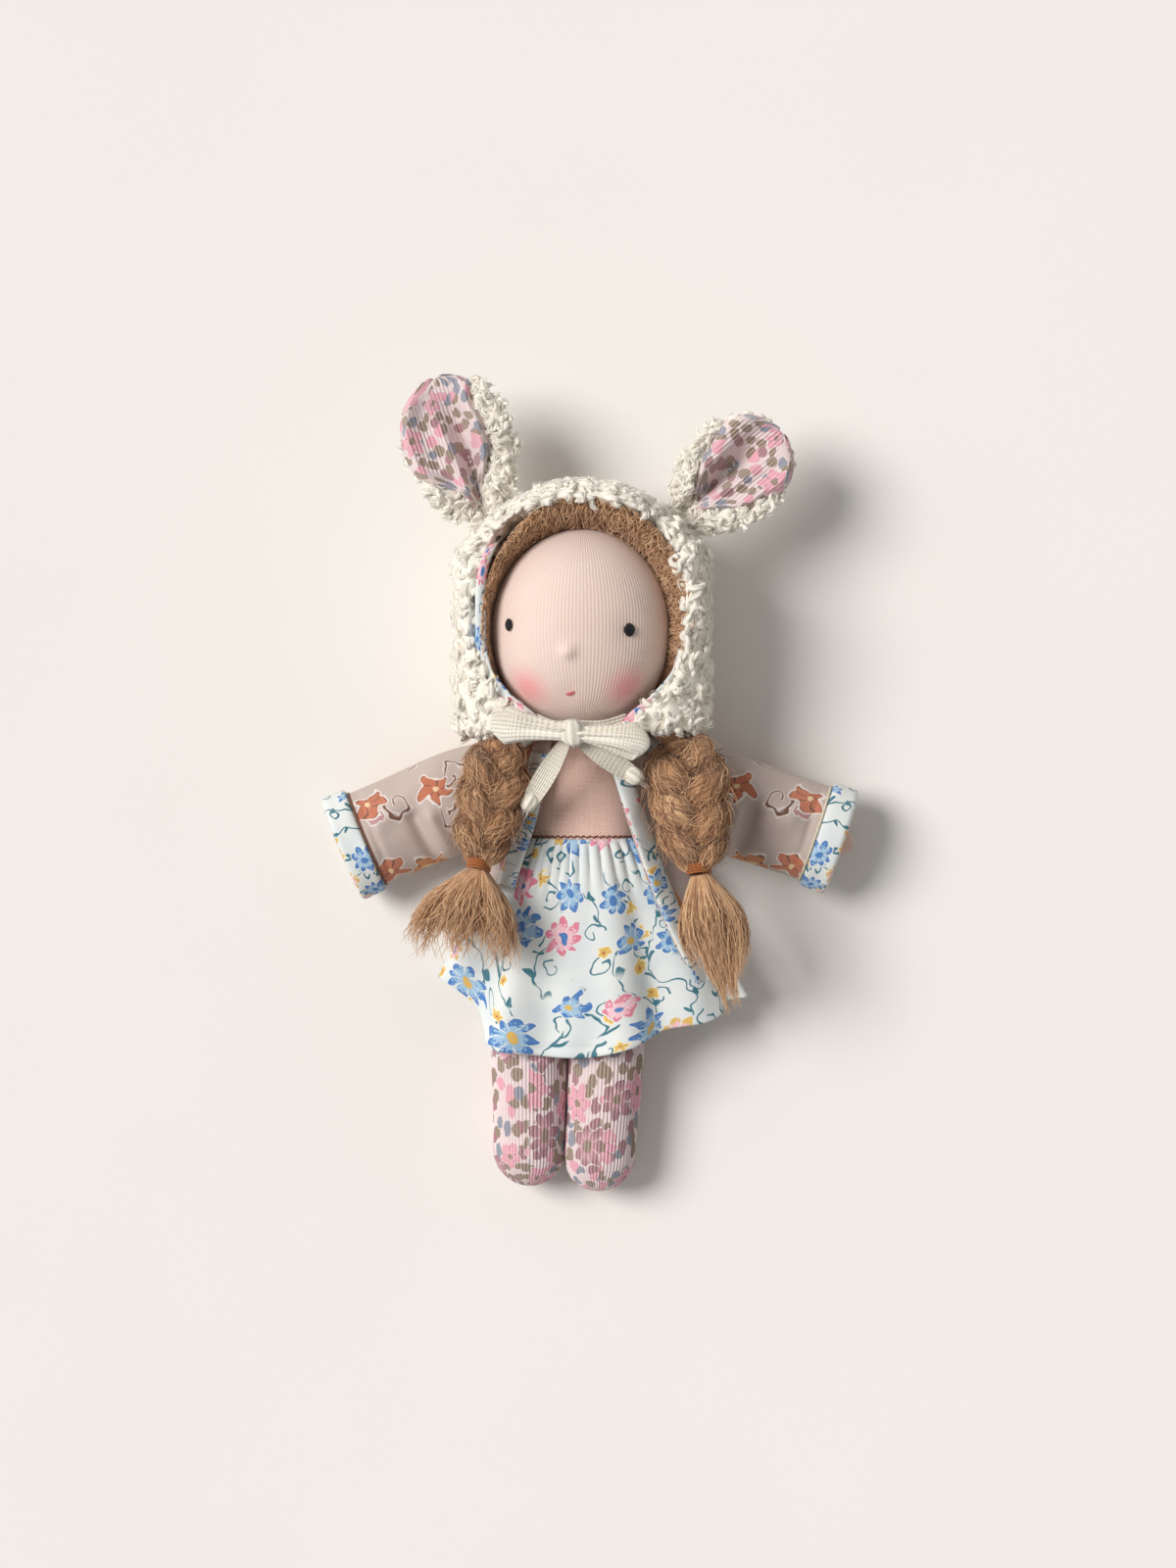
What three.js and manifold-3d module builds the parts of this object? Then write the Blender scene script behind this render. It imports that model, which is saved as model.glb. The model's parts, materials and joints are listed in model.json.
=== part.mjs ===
// Waldorf doll in a bunny bonnet, lying on its back. Millimetres: +Z out of the face, +Y to the crown,
// +X to the doll's own left hand. The origin is on the flat of the jacket's back.
import * as THREE from 'three';
import { mergeVertices } from 'three/addons/utils/BufferGeometryUtils.js';
import Module from 'manifold-3d';

const wasm = await Module();
wasm.setup();

// Clearances and cloths
const GAP = 0.3;
const JERSEY = 1.0;
const LINEN = 0.9;
const CORDUROY = 1.0;
const SKIRT_COTTON = 0.9;
const JACKET_COTTON = 1.0;
const LINING_COTTON = 0.7;
const ELASTIC = 0.8;
const PLUSH = 4.6;
const HAIR = 4.0;
const RESTING_FLAT = 0.5;
const BEYOND = 400;

// Levels along the doll
const NECK_Y = 30.6;
const SHOULDER_Y = 17;
const WAIST_Y = 0;
const HIP_Y = -34;

// Head
const HEAD_X = 1;
const HEAD_WIDTH = 49;
const HEAD_HEIGHT = 56;
const HEAD_DEPTH = 46;
const CHIN_RISE = 1.4;
const NECK_RADIUS = 7;
const NECK_DEPTH = 6.6;
const NOSE_RADIUS = 1.5;
const NOSE_PLACE = [-3.7, -7];
const EYE_LEFT_PLACE = [13, -1.1];
const EYE_RIGHT_PLACE = [-20, 0.5];
const EYE_WIDTH = 3.2;
const EYE_HEIGHT = 3.8;
const STITCH_HEIGHT = 0.8;
const MOUTH_PLACE = [-3.2, -18.5];
const MOUTH_WIDTH = 2.6;

// Hair
const HAIR_EASE = 0.6;
const HAIR_CROWN = 5.8;
const HAIR_NAPE_RISE = 6;
const FACE_WIDTH = 48.4;
const FACE_HEIGHT = 56;
const BRAID_TIE_THREAD = 0.7;
const BRAID_TIE_PITCH = 1.2;
const BRAID_TIE_LOOPS = 3;
const BRAID_TIE_RADIUS = 4.6;
const NECK_THREAD = 0.7;
const NECK_THREAD_PITCH = 1.15;
const NECK_THREAD_LOOPS = 2;

// Bonnet
const BONNET_CROWN_RISE = 6;
const BONNET_SQUASH = 2.5;
const BONNET_CHIN_DEPTH = 0.45;
const BONNET_OPENING_WIDTH = 58;
const BONNET_OPENING_TOP = 35.5;
const BONNET_OPENING_CHIN = 26;
const BONNET_EASE = 0.8;
const LINING_SHOWS = 1.2;
const EAR_THICKNESS = 4.4;
const EAR_LINING = 1.3;
const EAR_LINING_INSET = 2.6;
const EAR_CUP = 3.4;
const EAR_BACK = 4;

// Tie tapes
const TAPE_WIDTH = 8.5;
const TAPE = 1.2;
const BOW_X = -1.4;
const BOW_Z = 49.6;
const BOW_KNOT = [8, 9, 6];
const END_KNOT_RADIUS = 2.9;

// Torso and clothes
const TORSO_X = 1.5;
const TORSO_WIDTH = 32.4;
const TORSO_DEPTH = 23.4;
const ELASTIC_WIDTH = 4;
const SKIRT_X = 3;
const SKIRT_HEM_WIDTH = 84;
const SKIRT_LENGTH = 60;
const SKIRT_SIDE_RISE = 18;
const SKIRT_HEM_FRONT = 25.5;
const SKIRT_FOLDS = 9;
const SKIRT_FOLD_DEPTH = 1.1;
const JACKET_HEM_WIDTH = 70;
const JACKET_LENGTH = 42;
const JACKET_FRONT_DROP = 22;
const JACKET_FLAP_LIFT = 5;
const EDGE_WIDTH = 5;
const EDGE_ROLL = 1.8;
const EDGE_EASE = 0.6;
const EDGE_START = 0.24;
const EDGE_LEFT_END = 0.82;
const EDGE_RIGHT_END = 0.68;

// Limbs
const ARMHOLE_EASE = 1.2;
const ARM_WIDTH = 14;
const ARM_Z = 12.5;
const ARM_LEFT_LENGTH = 56;
const ARM_RIGHT_LENGTH = 46;
const ARM_LEFT_DROP = 19;
const ARM_RIGHT_DROP = 23;
const SLEEVE_LENGTH = 48;
const SLEEVE_WIDTH = 29;
const SLEEVE_DEPTH = 21.5;
const CUFF_WIDTH = 7;
const CUFF_COTTON = 1.2;
const HIP_X = -3;
const HIP_Z = 13.7;
const LEG_WIDTH = 21;
const LEG_DEPTH = 20;
const LEG_LENGTH = 63.5;
const LEG_GAP = 0.9;
const FOOT_TAPER = 0.92;
const FOOT_DROP = 3.9;

// Joint between torso and legs
const HIP_CLEARANCE = 0.8;

const { lerp, smoothstep, degToRad } = THREE.MathUtils;

function warp(geometry, move) {
  const position = geometry.attributes.position;
  const point = new THREE.Vector3();
  for (let i = 0; i < position.count; i++) {
    move(point.fromBufferAttribute(position, i));
    position.setXYZ(i, point.x, point.y, point.z);
  }
  return geometry;
}

function weld(geometry) {
  const bare = geometry.clone();
  bare.deleteAttribute('normal');
  bare.deleteAttribute('uv');
  return mergeVertices(bare, 1e-4);
}

function signedVolume(geometry) {
  const { position } = geometry.attributes;
  const corner = (i) => new THREE.Vector3().fromBufferAttribute(position, geometry.index.getX(i));
  let sum = 0;
  for (let i = 0; i < geometry.index.count; i += 3) {
    sum += corner(i).dot(corner(i + 1).cross(corner(i + 2))) / 6;
  }
  return sum;
}

// The same surface with its faces turned outwards and its points shared
function outward(geometry) {
  const welded = weld(geometry);
  if (signedVolume(welded) < 0) {
    welded.index.array.reverse();
  }
  return welded;
}

function solid(geometry) {
  const { attributes, index } = outward(geometry);
  return new wasm.Manifold(
    new wasm.Mesh({
      numProp: 3,
      vertProperties: Float32Array.from(attributes.position.array),
      triVerts: Uint32Array.from(index.array),
    }),
  );
}

function surface(manifold) {
  const { vertProperties, triVerts } = manifold.getMesh();
  const geometry = new THREE.BufferGeometry();
  geometry.setAttribute('position', new THREE.BufferAttribute(vertProperties, 3));
  geometry.setIndex(new THREE.BufferAttribute(triVerts, 1));
  return geometry;
}

function cut(body, ...tools) {
  return surface(tools.reduce((rest, tool) => rest.subtract(solid(tool)), solid(body)));
}

function join(body, ...others) {
  return surface(others.reduce((whole, other) => whole.add(solid(other)), solid(body)));
}

function shared(body, other) {
  return surface(solid(body).intersect(solid(other)));
}

// Value at t on straight runs between [t, value] keys
function onKeys(keys, t) {
  const next = keys.findIndex(([at]) => at >= t);
  if (next === 0) {
    return keys[0][1];
  }
  if (next < 0) {
    return keys.at(-1)[1];
  }
  const [t0, v0] = keys[next - 1];
  const [t1, v1] = keys[next];
  return lerp(v0, v1, (t - t0) / (t1 - t0));
}

// A tube of cloth: place(angle, t, lift) is the point at lift above its inner face, t from 0 to 1 along it
function clothTube(place, thickness, around, rows) {
  const inner = rows.map((t) => new THREE.Vector2(1, t));
  const outer = rows.map((t) => new THREE.Vector2(2, t));
  const profile = [...inner, ...outer.toReversed(), inner[0].clone()];
  return warp(new THREE.LatheGeometry(profile, around), (p) => {
    p.copy(place(Math.atan2(p.z, p.x), p.y, thickness * (Math.hypot(p.x, p.z) - 1)));
  });
}

// The space that such a tube wraps, closed at both ends
function clothCore(place, lift, around, rows) {
  const wall = rows.map((t) => new THREE.Vector2(1, t));
  const profile = [new THREE.Vector2(0, rows[0]), ...wall, new THREE.Vector2(0, rows.at(-1))];
  return warp(new THREE.LatheGeometry(profile, around), (p) => {
    const rim = place(Math.atan2(p.z, p.x), p.y, lift);
    if (Math.hypot(p.x, p.z) < 0.5) {
      rim.copy(place(0, p.y, lift)).add(place(Math.PI, p.y, lift)).multiplyScalar(0.5);
    }
    p.copy(rim);
  });
}

// A point of an oval section: a power over 1 draws the sides out into thin edges, one under 1 squares them
function oval(angle, halfWidth, halfDepth, frontPower = 1, backPower = 1) {
  const rise = Math.sin(angle);
  const power = rise > 0 ? frontPower : backPower;
  return [halfWidth * Math.cos(angle), halfDepth * Math.sign(rise) * Math.abs(rise) ** power];
}

function ellipsoid(halfX, halfY, halfZ, around, along) {
  const geometry = new THREE.SphereGeometry(1, around, along);
  return geometry.scale(halfX, halfY, halfZ);
}

// A cube larger than every piece, for cutting
function block() {
  return new THREE.BoxGeometry(BEYOND, BEYOND, BEYOND);
}

function prism(shape, z0, z1, steps) {
  const geometry = new THREE.ExtrudeGeometry(shape, {
    depth: z1 - z0,
    bevelEnabled: false,
    curveSegments: steps,
  });
  return geometry.translate(0, 0, z0);
}

// A section swept along a curve through the points
function sweep(section, points, steps) {
  const path = new THREE.CatmullRomCurve3(points.map((p) => new THREE.Vector3(...p)));
  return new THREE.ExtrudeGeometry(section, { steps, bevelEnabled: false, extrudePath: path });
}

function disc(radius, sides) {
  const corners = [];
  for (let i = 0; i < sides; i++) {
    const angle = (2 * Math.PI * i) / sides;
    corners.push(new THREE.Vector2(radius * Math.cos(angle), radius * Math.sin(angle)));
  }
  return new THREE.Shape(corners);
}

// Thread wound about Y in an unbroken helix, with its least gap to itself measured on its points
class Helix extends THREE.Curve {
  constructor(radius, pitch, loops) {
    super();
    Object.assign(this, { radius, pitch, loops });
  }
  getPoint(t, target = new THREE.Vector3()) {
    const angle = 2 * Math.PI * this.loops * t;
    const height = this.pitch * this.loops * (t - 0.5);
    return target.set(this.radius * Math.cos(angle), height, this.radius * Math.sin(angle));
  }
}

function winding(name, radius, thread, pitch, loops) {
  const stepsPerLoop = 12;
  const helix = new Helix(radius, pitch, loops);
  const points = helix.getPoints(stepsPerLoop * loops);
  let least = Infinity;
  for (let i = 0; i < points.length; i++) {
    for (let j = i + stepsPerLoop / 2; j < points.length; j++) {
      least = Math.min(least, points[i].distanceTo(points[j]) - thread);
    }
  }
  console.log(`${name}: least gap between loops ${least.toFixed(2)} mm`);
  return new THREE.ExtrudeGeometry(disc(thread / 2, 5), {
    steps: stepsPerLoop * loops,
    bevelEnabled: false,
    extrudePath: helix,
  });
}

const doll = new THREE.Group();

function fabric(color, roughness = 0.9) {
  return new THREE.MeshStandardMaterial({ color, roughness, metalness: 0 });
}

function piece(parent, name, geometry, material) {
  const mesh = new THREE.Mesh(outward(geometry), material);
  mesh.geometry.computeVertexNormals();
  mesh.name = name;
  parent.add(mesh);
  return mesh;
}

function frame(parent, position, rotation) {
  const group = new THREE.Group();
  group.position.set(...position);
  group.rotation.set(...rotation);
  parent.add(group);
  doll.updateMatrixWorld(true);
  return group;
}

// Geometry of the doll's own frame as seen from a turned group
function seenFrom(group, geometry) {
  return geometry.clone().applyMatrix4(group.matrixWorld.clone().invert());
}

// Layers over the torso at the waist, from the skin outwards
const torsoHalfWidth = TORSO_WIDTH / 2;
const torsoHalfDepth = TORSO_DEPTH / 2;
const skirtLift = GAP + ELASTIC + GAP;
const liningLift = skirtLift + SKIRT_COTTON + GAP;
const shellLift = liningLift + LINING_COTTON + 2 * GAP;
const jacketHalfDepth = torsoHalfDepth + shellLift + JACKET_COTTON;
const BODY_Z = jacketHalfDepth - RESTING_FLAT;

// Torso: a linen bag, open at the neck, with its stuffing
const torsoFloor = HIP_Y + LEG_DEPTH / 2 + HIP_CLEARANCE;
const neckHole = NECK_RADIUS + GAP;
const torsoOutline = [
  [0.001, torsoFloor],
  [0.55 * torsoHalfWidth, torsoFloor + 0.4],
  [0.9 * torsoHalfWidth, torsoFloor + 3],
  [1.03 * torsoHalfWidth, torsoFloor + 9],
  [torsoHalfWidth, WAIST_Y],
  [torsoHalfWidth, SHOULDER_Y],
  [0.9 * torsoHalfWidth, NECK_Y - 6.5],
  [0.7 * torsoHalfWidth, NECK_Y - 3],
  [neckHole + LINEN, NECK_Y - 1],
];

// Depth over width: round at the neck, flat below the shoulders
function torsoFlatness(y) {
  return lerp(TORSO_DEPTH / TORSO_WIDTH, 1, smoothstep(y, NECK_Y - 5, NECK_Y - 1.5));
}

function torsoShape(inset) {
  const points = torsoOutline.map(([r, y]) => new THREE.Vector2(r, y));
  return points.map((p, i) => {
    const before = points[Math.max(i - 1, 0)];
    const after = points[Math.min(i + 1, points.length - 1)];
    const along = after.clone().sub(before).normalize();
    const shifted = p.clone().add(new THREE.Vector2(-along.y, along.x).multiplyScalar(inset));
    shifted.x = i === 0 ? 0 : Math.max(shifted.x, 0.001);
    return shifted;
  });
}

function torsoSolid(profile) {
  const geometry = warp(new THREE.LatheGeometry(profile, 18), (p) => {
    p.z *= torsoFlatness(p.y);
  });
  return geometry.translate(TORSO_X, 0, BODY_Z);
}

const torso = frame(doll, [0, 0, 0], [0, 0, 0]);
const torsoRim = new THREE.Vector2(neckHole, NECK_Y - 1);
const torsoInner = torsoShape(LINEN).slice(0, -1);
const torsoCover = [...torsoShape(0), torsoRim, ...torsoInner.toReversed()];
piece(torso, 'torso_cover', torsoSolid(torsoCover), fabric(0xc89178));

const neckEnd = NECK_Y - NECK_DEPTH;
const stuffingTop = neckEnd - GAP;
const stuffingOutline = torsoShape(LINEN + GAP).filter((p) => p.y < stuffingTop - 0.5);
const lastStuffing = stuffingOutline.at(-1);
stuffingOutline.push(new THREE.Vector2(lastStuffing.x * 0.9, stuffingTop), new THREE.Vector2(0, stuffingTop));
piece(torso, 'torso_stuffing', torsoSolid(stuffingOutline), fabric(0xf1ead9, 1));

// Waist elastic, a band round the torso
function elasticPlace(angle, t, lift) {
  const y = lerp(WAIST_Y - ELASTIC_WIDTH, WAIST_Y, t);
  const [x, z] = oval(angle, torsoHalfWidth + 2 * GAP + lift, torsoHalfDepth + 2 * GAP + lift);
  return new THREE.Vector3(TORSO_X + x, y, BODY_Z + z);
}
piece(torso, 'waist_elastic', clothTube(elasticPlace, ELASTIC - GAP, 18, [0, 1]), fabric(0xf4f1ea));

// Skirt: gathered at the waist, flaring in folds to a hem that rises at the sides
function skirtPlace(angle, t, lift) {
  const side = Math.abs(Math.cos(angle)) ** 1.5;
  const length = SKIRT_LENGTH + 1 - SKIRT_SIDE_RISE * side;
  const fold = SKIRT_FOLD_DEPTH * t * Math.cos(SKIRT_FOLDS * angle);
  const halfWidth = lerp(torsoHalfWidth + skirtLift, SKIRT_HEM_WIDTH / 2, t ** 0.85) + lift + fold;
  const backAtWaist = BODY_Z - torsoHalfDepth - skirtLift;
  const back = lerp(backAtWaist, SKIRT_COTTON + 0.1, t ** 2.5) - lift;
  const front = lerp(BODY_Z + torsoHalfDepth + skirtLift, SKIRT_HEM_FRONT, t ** 1.6) + lift + fold;
  const frontPower = lerp(1, 1.25, t);
  const backPower = lerp(1, 0.32, smoothstep(t, 0.22, 0.55));
  const [x, z] = oval(angle, halfWidth, (front - back) / 2, frontPower, backPower);
  const shift = lerp(TORSO_X, SKIRT_X, t);
  return new THREE.Vector3(shift + x, WAIST_Y + 1 - length * t, (front + back) / 2 + z);
}

const skirt = clothTube(skirtPlace, SKIRT_COTTON, 32, [0, 0.1, 0.3, 0.5, 0.75, 1]);
const aboveHips = block().translate(0, HIP_Y + (BEYOND + GAP) / 2, 0);
const belowHips = block().translate(0, HIP_Y - (BEYOND + GAP) / 2, 0);
const skirtCotton = fabric(0xeeeee8);
piece(torso, 'skirt_yoke', shared(skirt, aboveHips), skirtCotton);

// Jacket body: close at the neck, wide at the hem, longer at the left front
const jacketTop = NECK_Y - 0.6;
const jacketRows = [0, 0.08, 0.2, 0.34, 0.6, 0.8, 1];
const jacketLeftFront = 0.6;
function jacketPlace(angle, t, lift) {
  const nearFront = Math.max(0, Math.cos(angle - jacketLeftFront)) ** 6;
  const length = JACKET_LENGTH + JACKET_FRONT_DROP * nearFront;
  const reach = liningLift + lift;
  const neck = neckHole + LINEN - torsoHalfWidth - liningLift + GAP;
  const flare = JACKET_HEM_WIDTH / 2 - torsoHalfWidth - shellLift - JACKET_COTTON;
  const wideKeys = [[0, neck], [0.08, -3.4], [0.2, -0.4], [0.34, 0.3], [0.6, 0.32 * flare], [1, flare]];
  const deepKeys = [[0, neck + torsoHalfWidth - torsoHalfDepth], [0.08, -1], [0.2, 0]];
  const halfWidth = torsoHalfWidth + reach + onKeys(wideKeys, t);
  const halfDepth = torsoHalfDepth + reach + onKeys(deepKeys, t);
  const [x, z] = oval(angle, halfWidth, halfDepth, lerp(1, 1.2, t));
  const flap = JACKET_FLAP_LIFT * nearFront * smoothstep(t, 0.3, 1);
  return new THREE.Vector3(TORSO_X + x, jacketTop - length * t, BODY_Z + z + flap);
}

// Front opening: the right edge falls almost straight, the left one swings out over the skirt
const rightEdgePath = [[-7.5, NECK_Y], [-11, 10], [-17.5, -11], [-21, -24]];
const leftEdgePath = [[8, NECK_Y], [12.5, 18], [24, -9], [37.5, -42]];
const openingShape = new THREE.Shape([
  ...rightEdgePath.map(([x, y]) => new THREE.Vector2(x, y)),
  ...leftEdgePath.toReversed().map(([x, y]) => new THREE.Vector2(x, y)),
]);
const opening = prism(openingShape, BODY_Z, BODY_Z + 40, 1);

const armHalf = ARM_WIDTH / 2;
const shoulderReach = torsoHalfWidth + GAP + armHalf;
function armhole(side) {
  const reach = armHalf + ARMHOLE_EASE;
  return ellipsoid(reach, reach, reach, 16, 10).translate(TORSO_X + side * shoulderReach, SHOULDER_Y, ARM_Z);
}

const floorBlock = block().translate(0, 0, -BEYOND / 2);
const shellPlace = (angle, t, lift) => jacketPlace(angle, t, shellLift - liningLift + lift);
const jacketCuts = [opening, armhole(1), armhole(-1)];
const jacketCotton = fabric(0xbeaca2);
const liningCotton = fabric(0xefe6da);
const liningTube = clothTube(jacketPlace, LINING_COTTON, 24, jacketRows);
const shellTube = clothTube(shellPlace, JACKET_COTTON, 24, jacketRows);
piece(torso, 'jacket_lining', cut(liningTube, ...jacketCuts), liningCotton);
piece(torso, 'jacket_shell', cut(shellTube, ...jacketCuts, floorBlock), jacketCotton);

// Height of the jacket's front over a place in plan
const shellFront = new THREE.Mesh(outward(shellTube), jacketCotton);
function jacketFront(x, y) {
  const down = new THREE.Raycaster(new THREE.Vector3(x, y, BEYOND), new THREE.Vector3(0, 0, -1));
  return down.intersectObject(shellFront)[0].point.z;
}

// Rolled front edges: strips draped on the jacket beside its opening
function edgeStrip(path, side, end) {
  const route = new THREE.SplineCurve(path.map(([x, y]) => new THREE.Vector2(x, y)));
  return warp(new THREE.BoxGeometry(1, 1, 1, 2, 9, 1), (p) => {
    const t = lerp(EDGE_START, end, p.y + 0.5);
    const at = route.getPoint(t);
    const along = route.getTangent(t);
    const across = side * EDGE_WIDTH * (p.x + 0.5);
    const x = at.x - across * along.y;
    const y = at.y + across * along.x;
    const roll = EDGE_ROLL * (p.z + 0.5) * (1 - 1.6 * p.x * p.x);
    p.set(x, y, jacketFront(x, y) + EDGE_EASE + roll);
  });
}
piece(torso, 'jacket_edge_right', edgeStrip(rightEdgePath, -1, EDGE_RIGHT_END), liningCotton);
piece(torso, 'jacket_edge_left', edgeStrip(leftEdgePath, 1, EDGE_LEFT_END), liningCotton);

// Head: jersey over a firm core, with the neck going down into the torso
const headHalf = [HEAD_WIDTH / 2, HEAD_HEIGHT / 2, HEAD_DEPTH / 2];
const liningOut = GAP + HAIR + GAP + LINING_COTTON;
const bonnetOut = liningOut + BONNET_EASE + PLUSH;
const HEAD_Y = NECK_Y + CHIN_RISE + headHalf[1];
const HEAD_Z = headHalf[2] + bonnetOut - BONNET_SQUASH;
const head = frame(doll, [0, 0, 0], [0, 0, 0]);

function headBall(grow, around = 22, along = 12) {
  const ball = ellipsoid(headHalf[0] + grow, headHalf[1] + grow, headHalf[2] + grow, around, along);
  return ball.translate(HEAD_X, HEAD_Y, HEAD_Z);
}

function neckPost(radius, end) {
  const top = HEAD_Y - 0.5 * headHalf[1];
  const post = new THREE.CylinderGeometry(radius, radius, top - end, 16, 1);
  return post.translate(TORSO_X, (top + end) / 2, BODY_Z);
}

// Where a stitch sits on the face, from a place given from the head's middle
function onFace([x, y], lift) {
  const z = headHalf[2] * Math.sqrt(1 - (x / headHalf[0]) ** 2 - (y / headHalf[1]) ** 2);
  const normal = new THREE.Vector3(x / headHalf[0] ** 2, y / headHalf[1] ** 2, z / headHalf[2] ** 2);
  normal.normalize();
  const centre = new THREE.Vector3(HEAD_X + x, HEAD_Y + y, HEAD_Z + z);
  const turn = new THREE.Quaternion().setFromUnitVectors(new THREE.Vector3(0, 0, 1), normal);
  return { centre: centre.addScaledVector(normal, lift), turn };
}

const noseBump = ellipsoid(NOSE_RADIUS, NOSE_RADIUS, NOSE_RADIUS, 10, 6);
noseBump.translate(...onFace(NOSE_PLACE, 0.25 * NOSE_RADIUS).centre.toArray());
const headOuter = join(headBall(0), neckPost(NECK_RADIUS, neckEnd), noseBump);
const headSkin = cut(headOuter, headBall(-JERSEY, 20, 10), neckPost(NECK_RADIUS - JERSEY, neckEnd - 1));
piece(head, 'head_skin', headSkin, fabric(0xeed0be));
const coreInset = JERSEY + GAP;
const headCore = join(headBall(-coreInset - 0.4, 18, 10), neckPost(NECK_RADIUS - coreInset, neckEnd));
piece(head, 'head_core', headCore, fabric(0xf2ead8, 1));

const neckWind = NECK_RADIUS + GAP + NECK_THREAD / 2;
const neckThread = winding('neck_thread', neckWind, NECK_THREAD, NECK_THREAD_PITCH, NECK_THREAD_LOOPS);
const neckWindHeight = NECK_THREAD + NECK_THREAD_LOOPS * NECK_THREAD_PITCH;
neckThread.translate(TORSO_X, torsoRim.y + GAP + neckWindHeight / 2, BODY_Z);
piece(head, 'neck_thread', neckThread, fabric(0xe9dcc6));

function stitched(name, place, width, color) {
  const bead = ellipsoid(width / 2, EYE_HEIGHT / 2, STITCH_HEIGHT / 2, 10, 6);
  const stitch = piece(head, name, bead, fabric(color, 0.6));
  const { centre, turn } = onFace(place, STITCH_HEIGHT / 2 + GAP / 2);
  stitch.position.copy(centre);
  stitch.quaternion.copy(turn);
  return stitch;
}
stitched('eye_left', EYE_LEFT_PLACE, EYE_WIDTH, 0x17181c);
stitched('eye_right', EYE_RIGHT_PLACE, EYE_WIDTH, 0x17181c);
stitched('mouth', MOUTH_PLACE, MOUTH_WIDTH, 0xe0606a).scale.y = STITCH_HEIGHT / EYE_HEIGHT;

// Bonnet: a hood with straight sides and a round crown, open at the face and the neck
const crownY = HEAD_Y + BONNET_CROWN_RISE;
const bonnetHem = NECK_Y + GAP;
function hood(inner, outer) {
  const inside = new THREE.Vector2(headHalf[0] + inner, bonnetHem);
  const outside = new THREE.Vector2(headHalf[0] + outer, bonnetHem);
  const profile = [new THREE.Vector2(0, crownY + inside.x)];
  const arc = 5;
  for (let i = 1; i <= arc; i++) {
    const angle = (Math.PI / 2) * (1 - i / arc);
    profile.push(new THREE.Vector2(inside.x * Math.cos(angle), crownY + inside.x * Math.sin(angle)));
  }
  const wall = [0.25, 0.5, 0.75].map((t) => lerp(crownY, bonnetHem, t));
  profile.push(...wall.map((y) => new THREE.Vector2(inside.x, y)), inside, outside);
  profile.push(...wall.toReversed().map((y) => new THREE.Vector2(outside.x, y)));
  for (let i = arc; i >= 1; i--) {
    const angle = (Math.PI / 2) * (1 - i / arc);
    profile.push(new THREE.Vector2(outside.x * Math.cos(angle), crownY + outside.x * Math.sin(angle)));
  }
  profile.push(new THREE.Vector2(0, crownY + outside.x));
  const flatness = HEAD_DEPTH / HEAD_WIDTH;
  const shell = warp(new THREE.LatheGeometry(profile, 22), (p) => {
    const chin = lerp(BONNET_CHIN_DEPTH, 1, smoothstep(p.y, bonnetHem, HEAD_Y));
    p.z *= flatness * (p.z > 0 ? chin : 1);
  });
  return shell.translate(HEAD_X, 0, HEAD_Z);
}

function openingCut(grow) {
  const half = BONNET_OPENING_WIDTH / 2 + grow;
  const chin = BONNET_OPENING_CHIN / 2 + grow;
  const top = HEAD_Y + BONNET_OPENING_TOP + grow;
  const side = [
    [chin, NECK_Y - 6],
    [chin + 1, NECK_Y + 4],
    [0.74 * half, NECK_Y + 10 - grow],
    [0.95 * half, HEAD_Y - 11],
    [half, HEAD_Y + 4],
    [0.93 * half, HEAD_Y + 20],
    [0.62 * half, HEAD_Y + 31],
  ];
  const points = [...side, [0, top], ...side.toReversed().map(([x, y]) => [-x, y])];
  const curve = new THREE.SplineCurve(points.map(([x, y]) => new THREE.Vector2(HEAD_X + x, y)));
  return prism(new THREE.Shape(curve.getPoints(36)), HEAD_Z - 3, HEAD_Z + 60, 1);
}

// Hair cap round the face, and a bunch at each side that the braid grows from
const BRAIDS = {
  left: { root: [29.5, 24.5, 34], end: [33.5, -7, 39], tip: [40.5, -41, 37], width: 19, tailWidth: 19 },
  right: { root: [-22, 24.5, 35], end: [-27.5, -5.8, 40], tip: [-35, -30, 39], width: 17, tailWidth: 25 },
};
const BRAID_BALL = 4.6;

function hairBunch({ root }) {
  const [x, y, z] = root;
  const inward = Math.sign(HEAD_X - x);
  const hidden = HEAD_X - inward * Math.min(Math.abs(x - HEAD_X) - 1, headHalf[0] - 2.5);
  const start = [hidden + 3 * inward, HEAD_Y - 0.68 * headHalf[1], HEAD_Z - 1];
  const points = [start, [hidden, NECK_Y + 2.5, HEAD_Z - 0.5], [x, y + BRAID_BALL - 1, z]];
  return sweep(disc(BRAID_BALL - 0.8, 10), points, 5);
}

function socketFor({ root }) {
  const reach = BRAID_BALL + GAP;
  return ellipsoid(reach, reach, reach, 12, 8).translate(...root);
}

const hairOut = HAIR - HAIR_EASE;
const hairOuter = ellipsoid(headHalf[0] + hairOut, headHalf[1] + HAIR_CROWN, headHalf[2] + hairOut, 20, 10);
hairOuter.translate(HEAD_X, HEAD_Y, HEAD_Z);
const faceShape = new THREE.Shape();
faceShape.absellipse(HEAD_X, HEAD_Y, FACE_WIDTH / 2, FACE_HEIGHT / 2, 0, 2 * Math.PI);
const facePrism = prism(faceShape, HEAD_Z, HEAD_Z + 60, 14);
const hairNape = HEAD_Y - headHalf[1] + HAIR_NAPE_RISE;
const underNape = block().translate(HEAD_X, hairNape - BEYOND / 2, HEAD_Z);
const headClear = headBall(GAP);
const neckClear = neckPost(NECK_RADIUS + GAP, neckEnd);
const cap = cut(hairOuter, facePrism, underNape);
const withBunches = join(cap, hairBunch(BRAIDS.left), hairBunch(BRAIDS.right));
const sockets = [socketFor(BRAIDS.left), socketFor(BRAIDS.right)];
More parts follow.
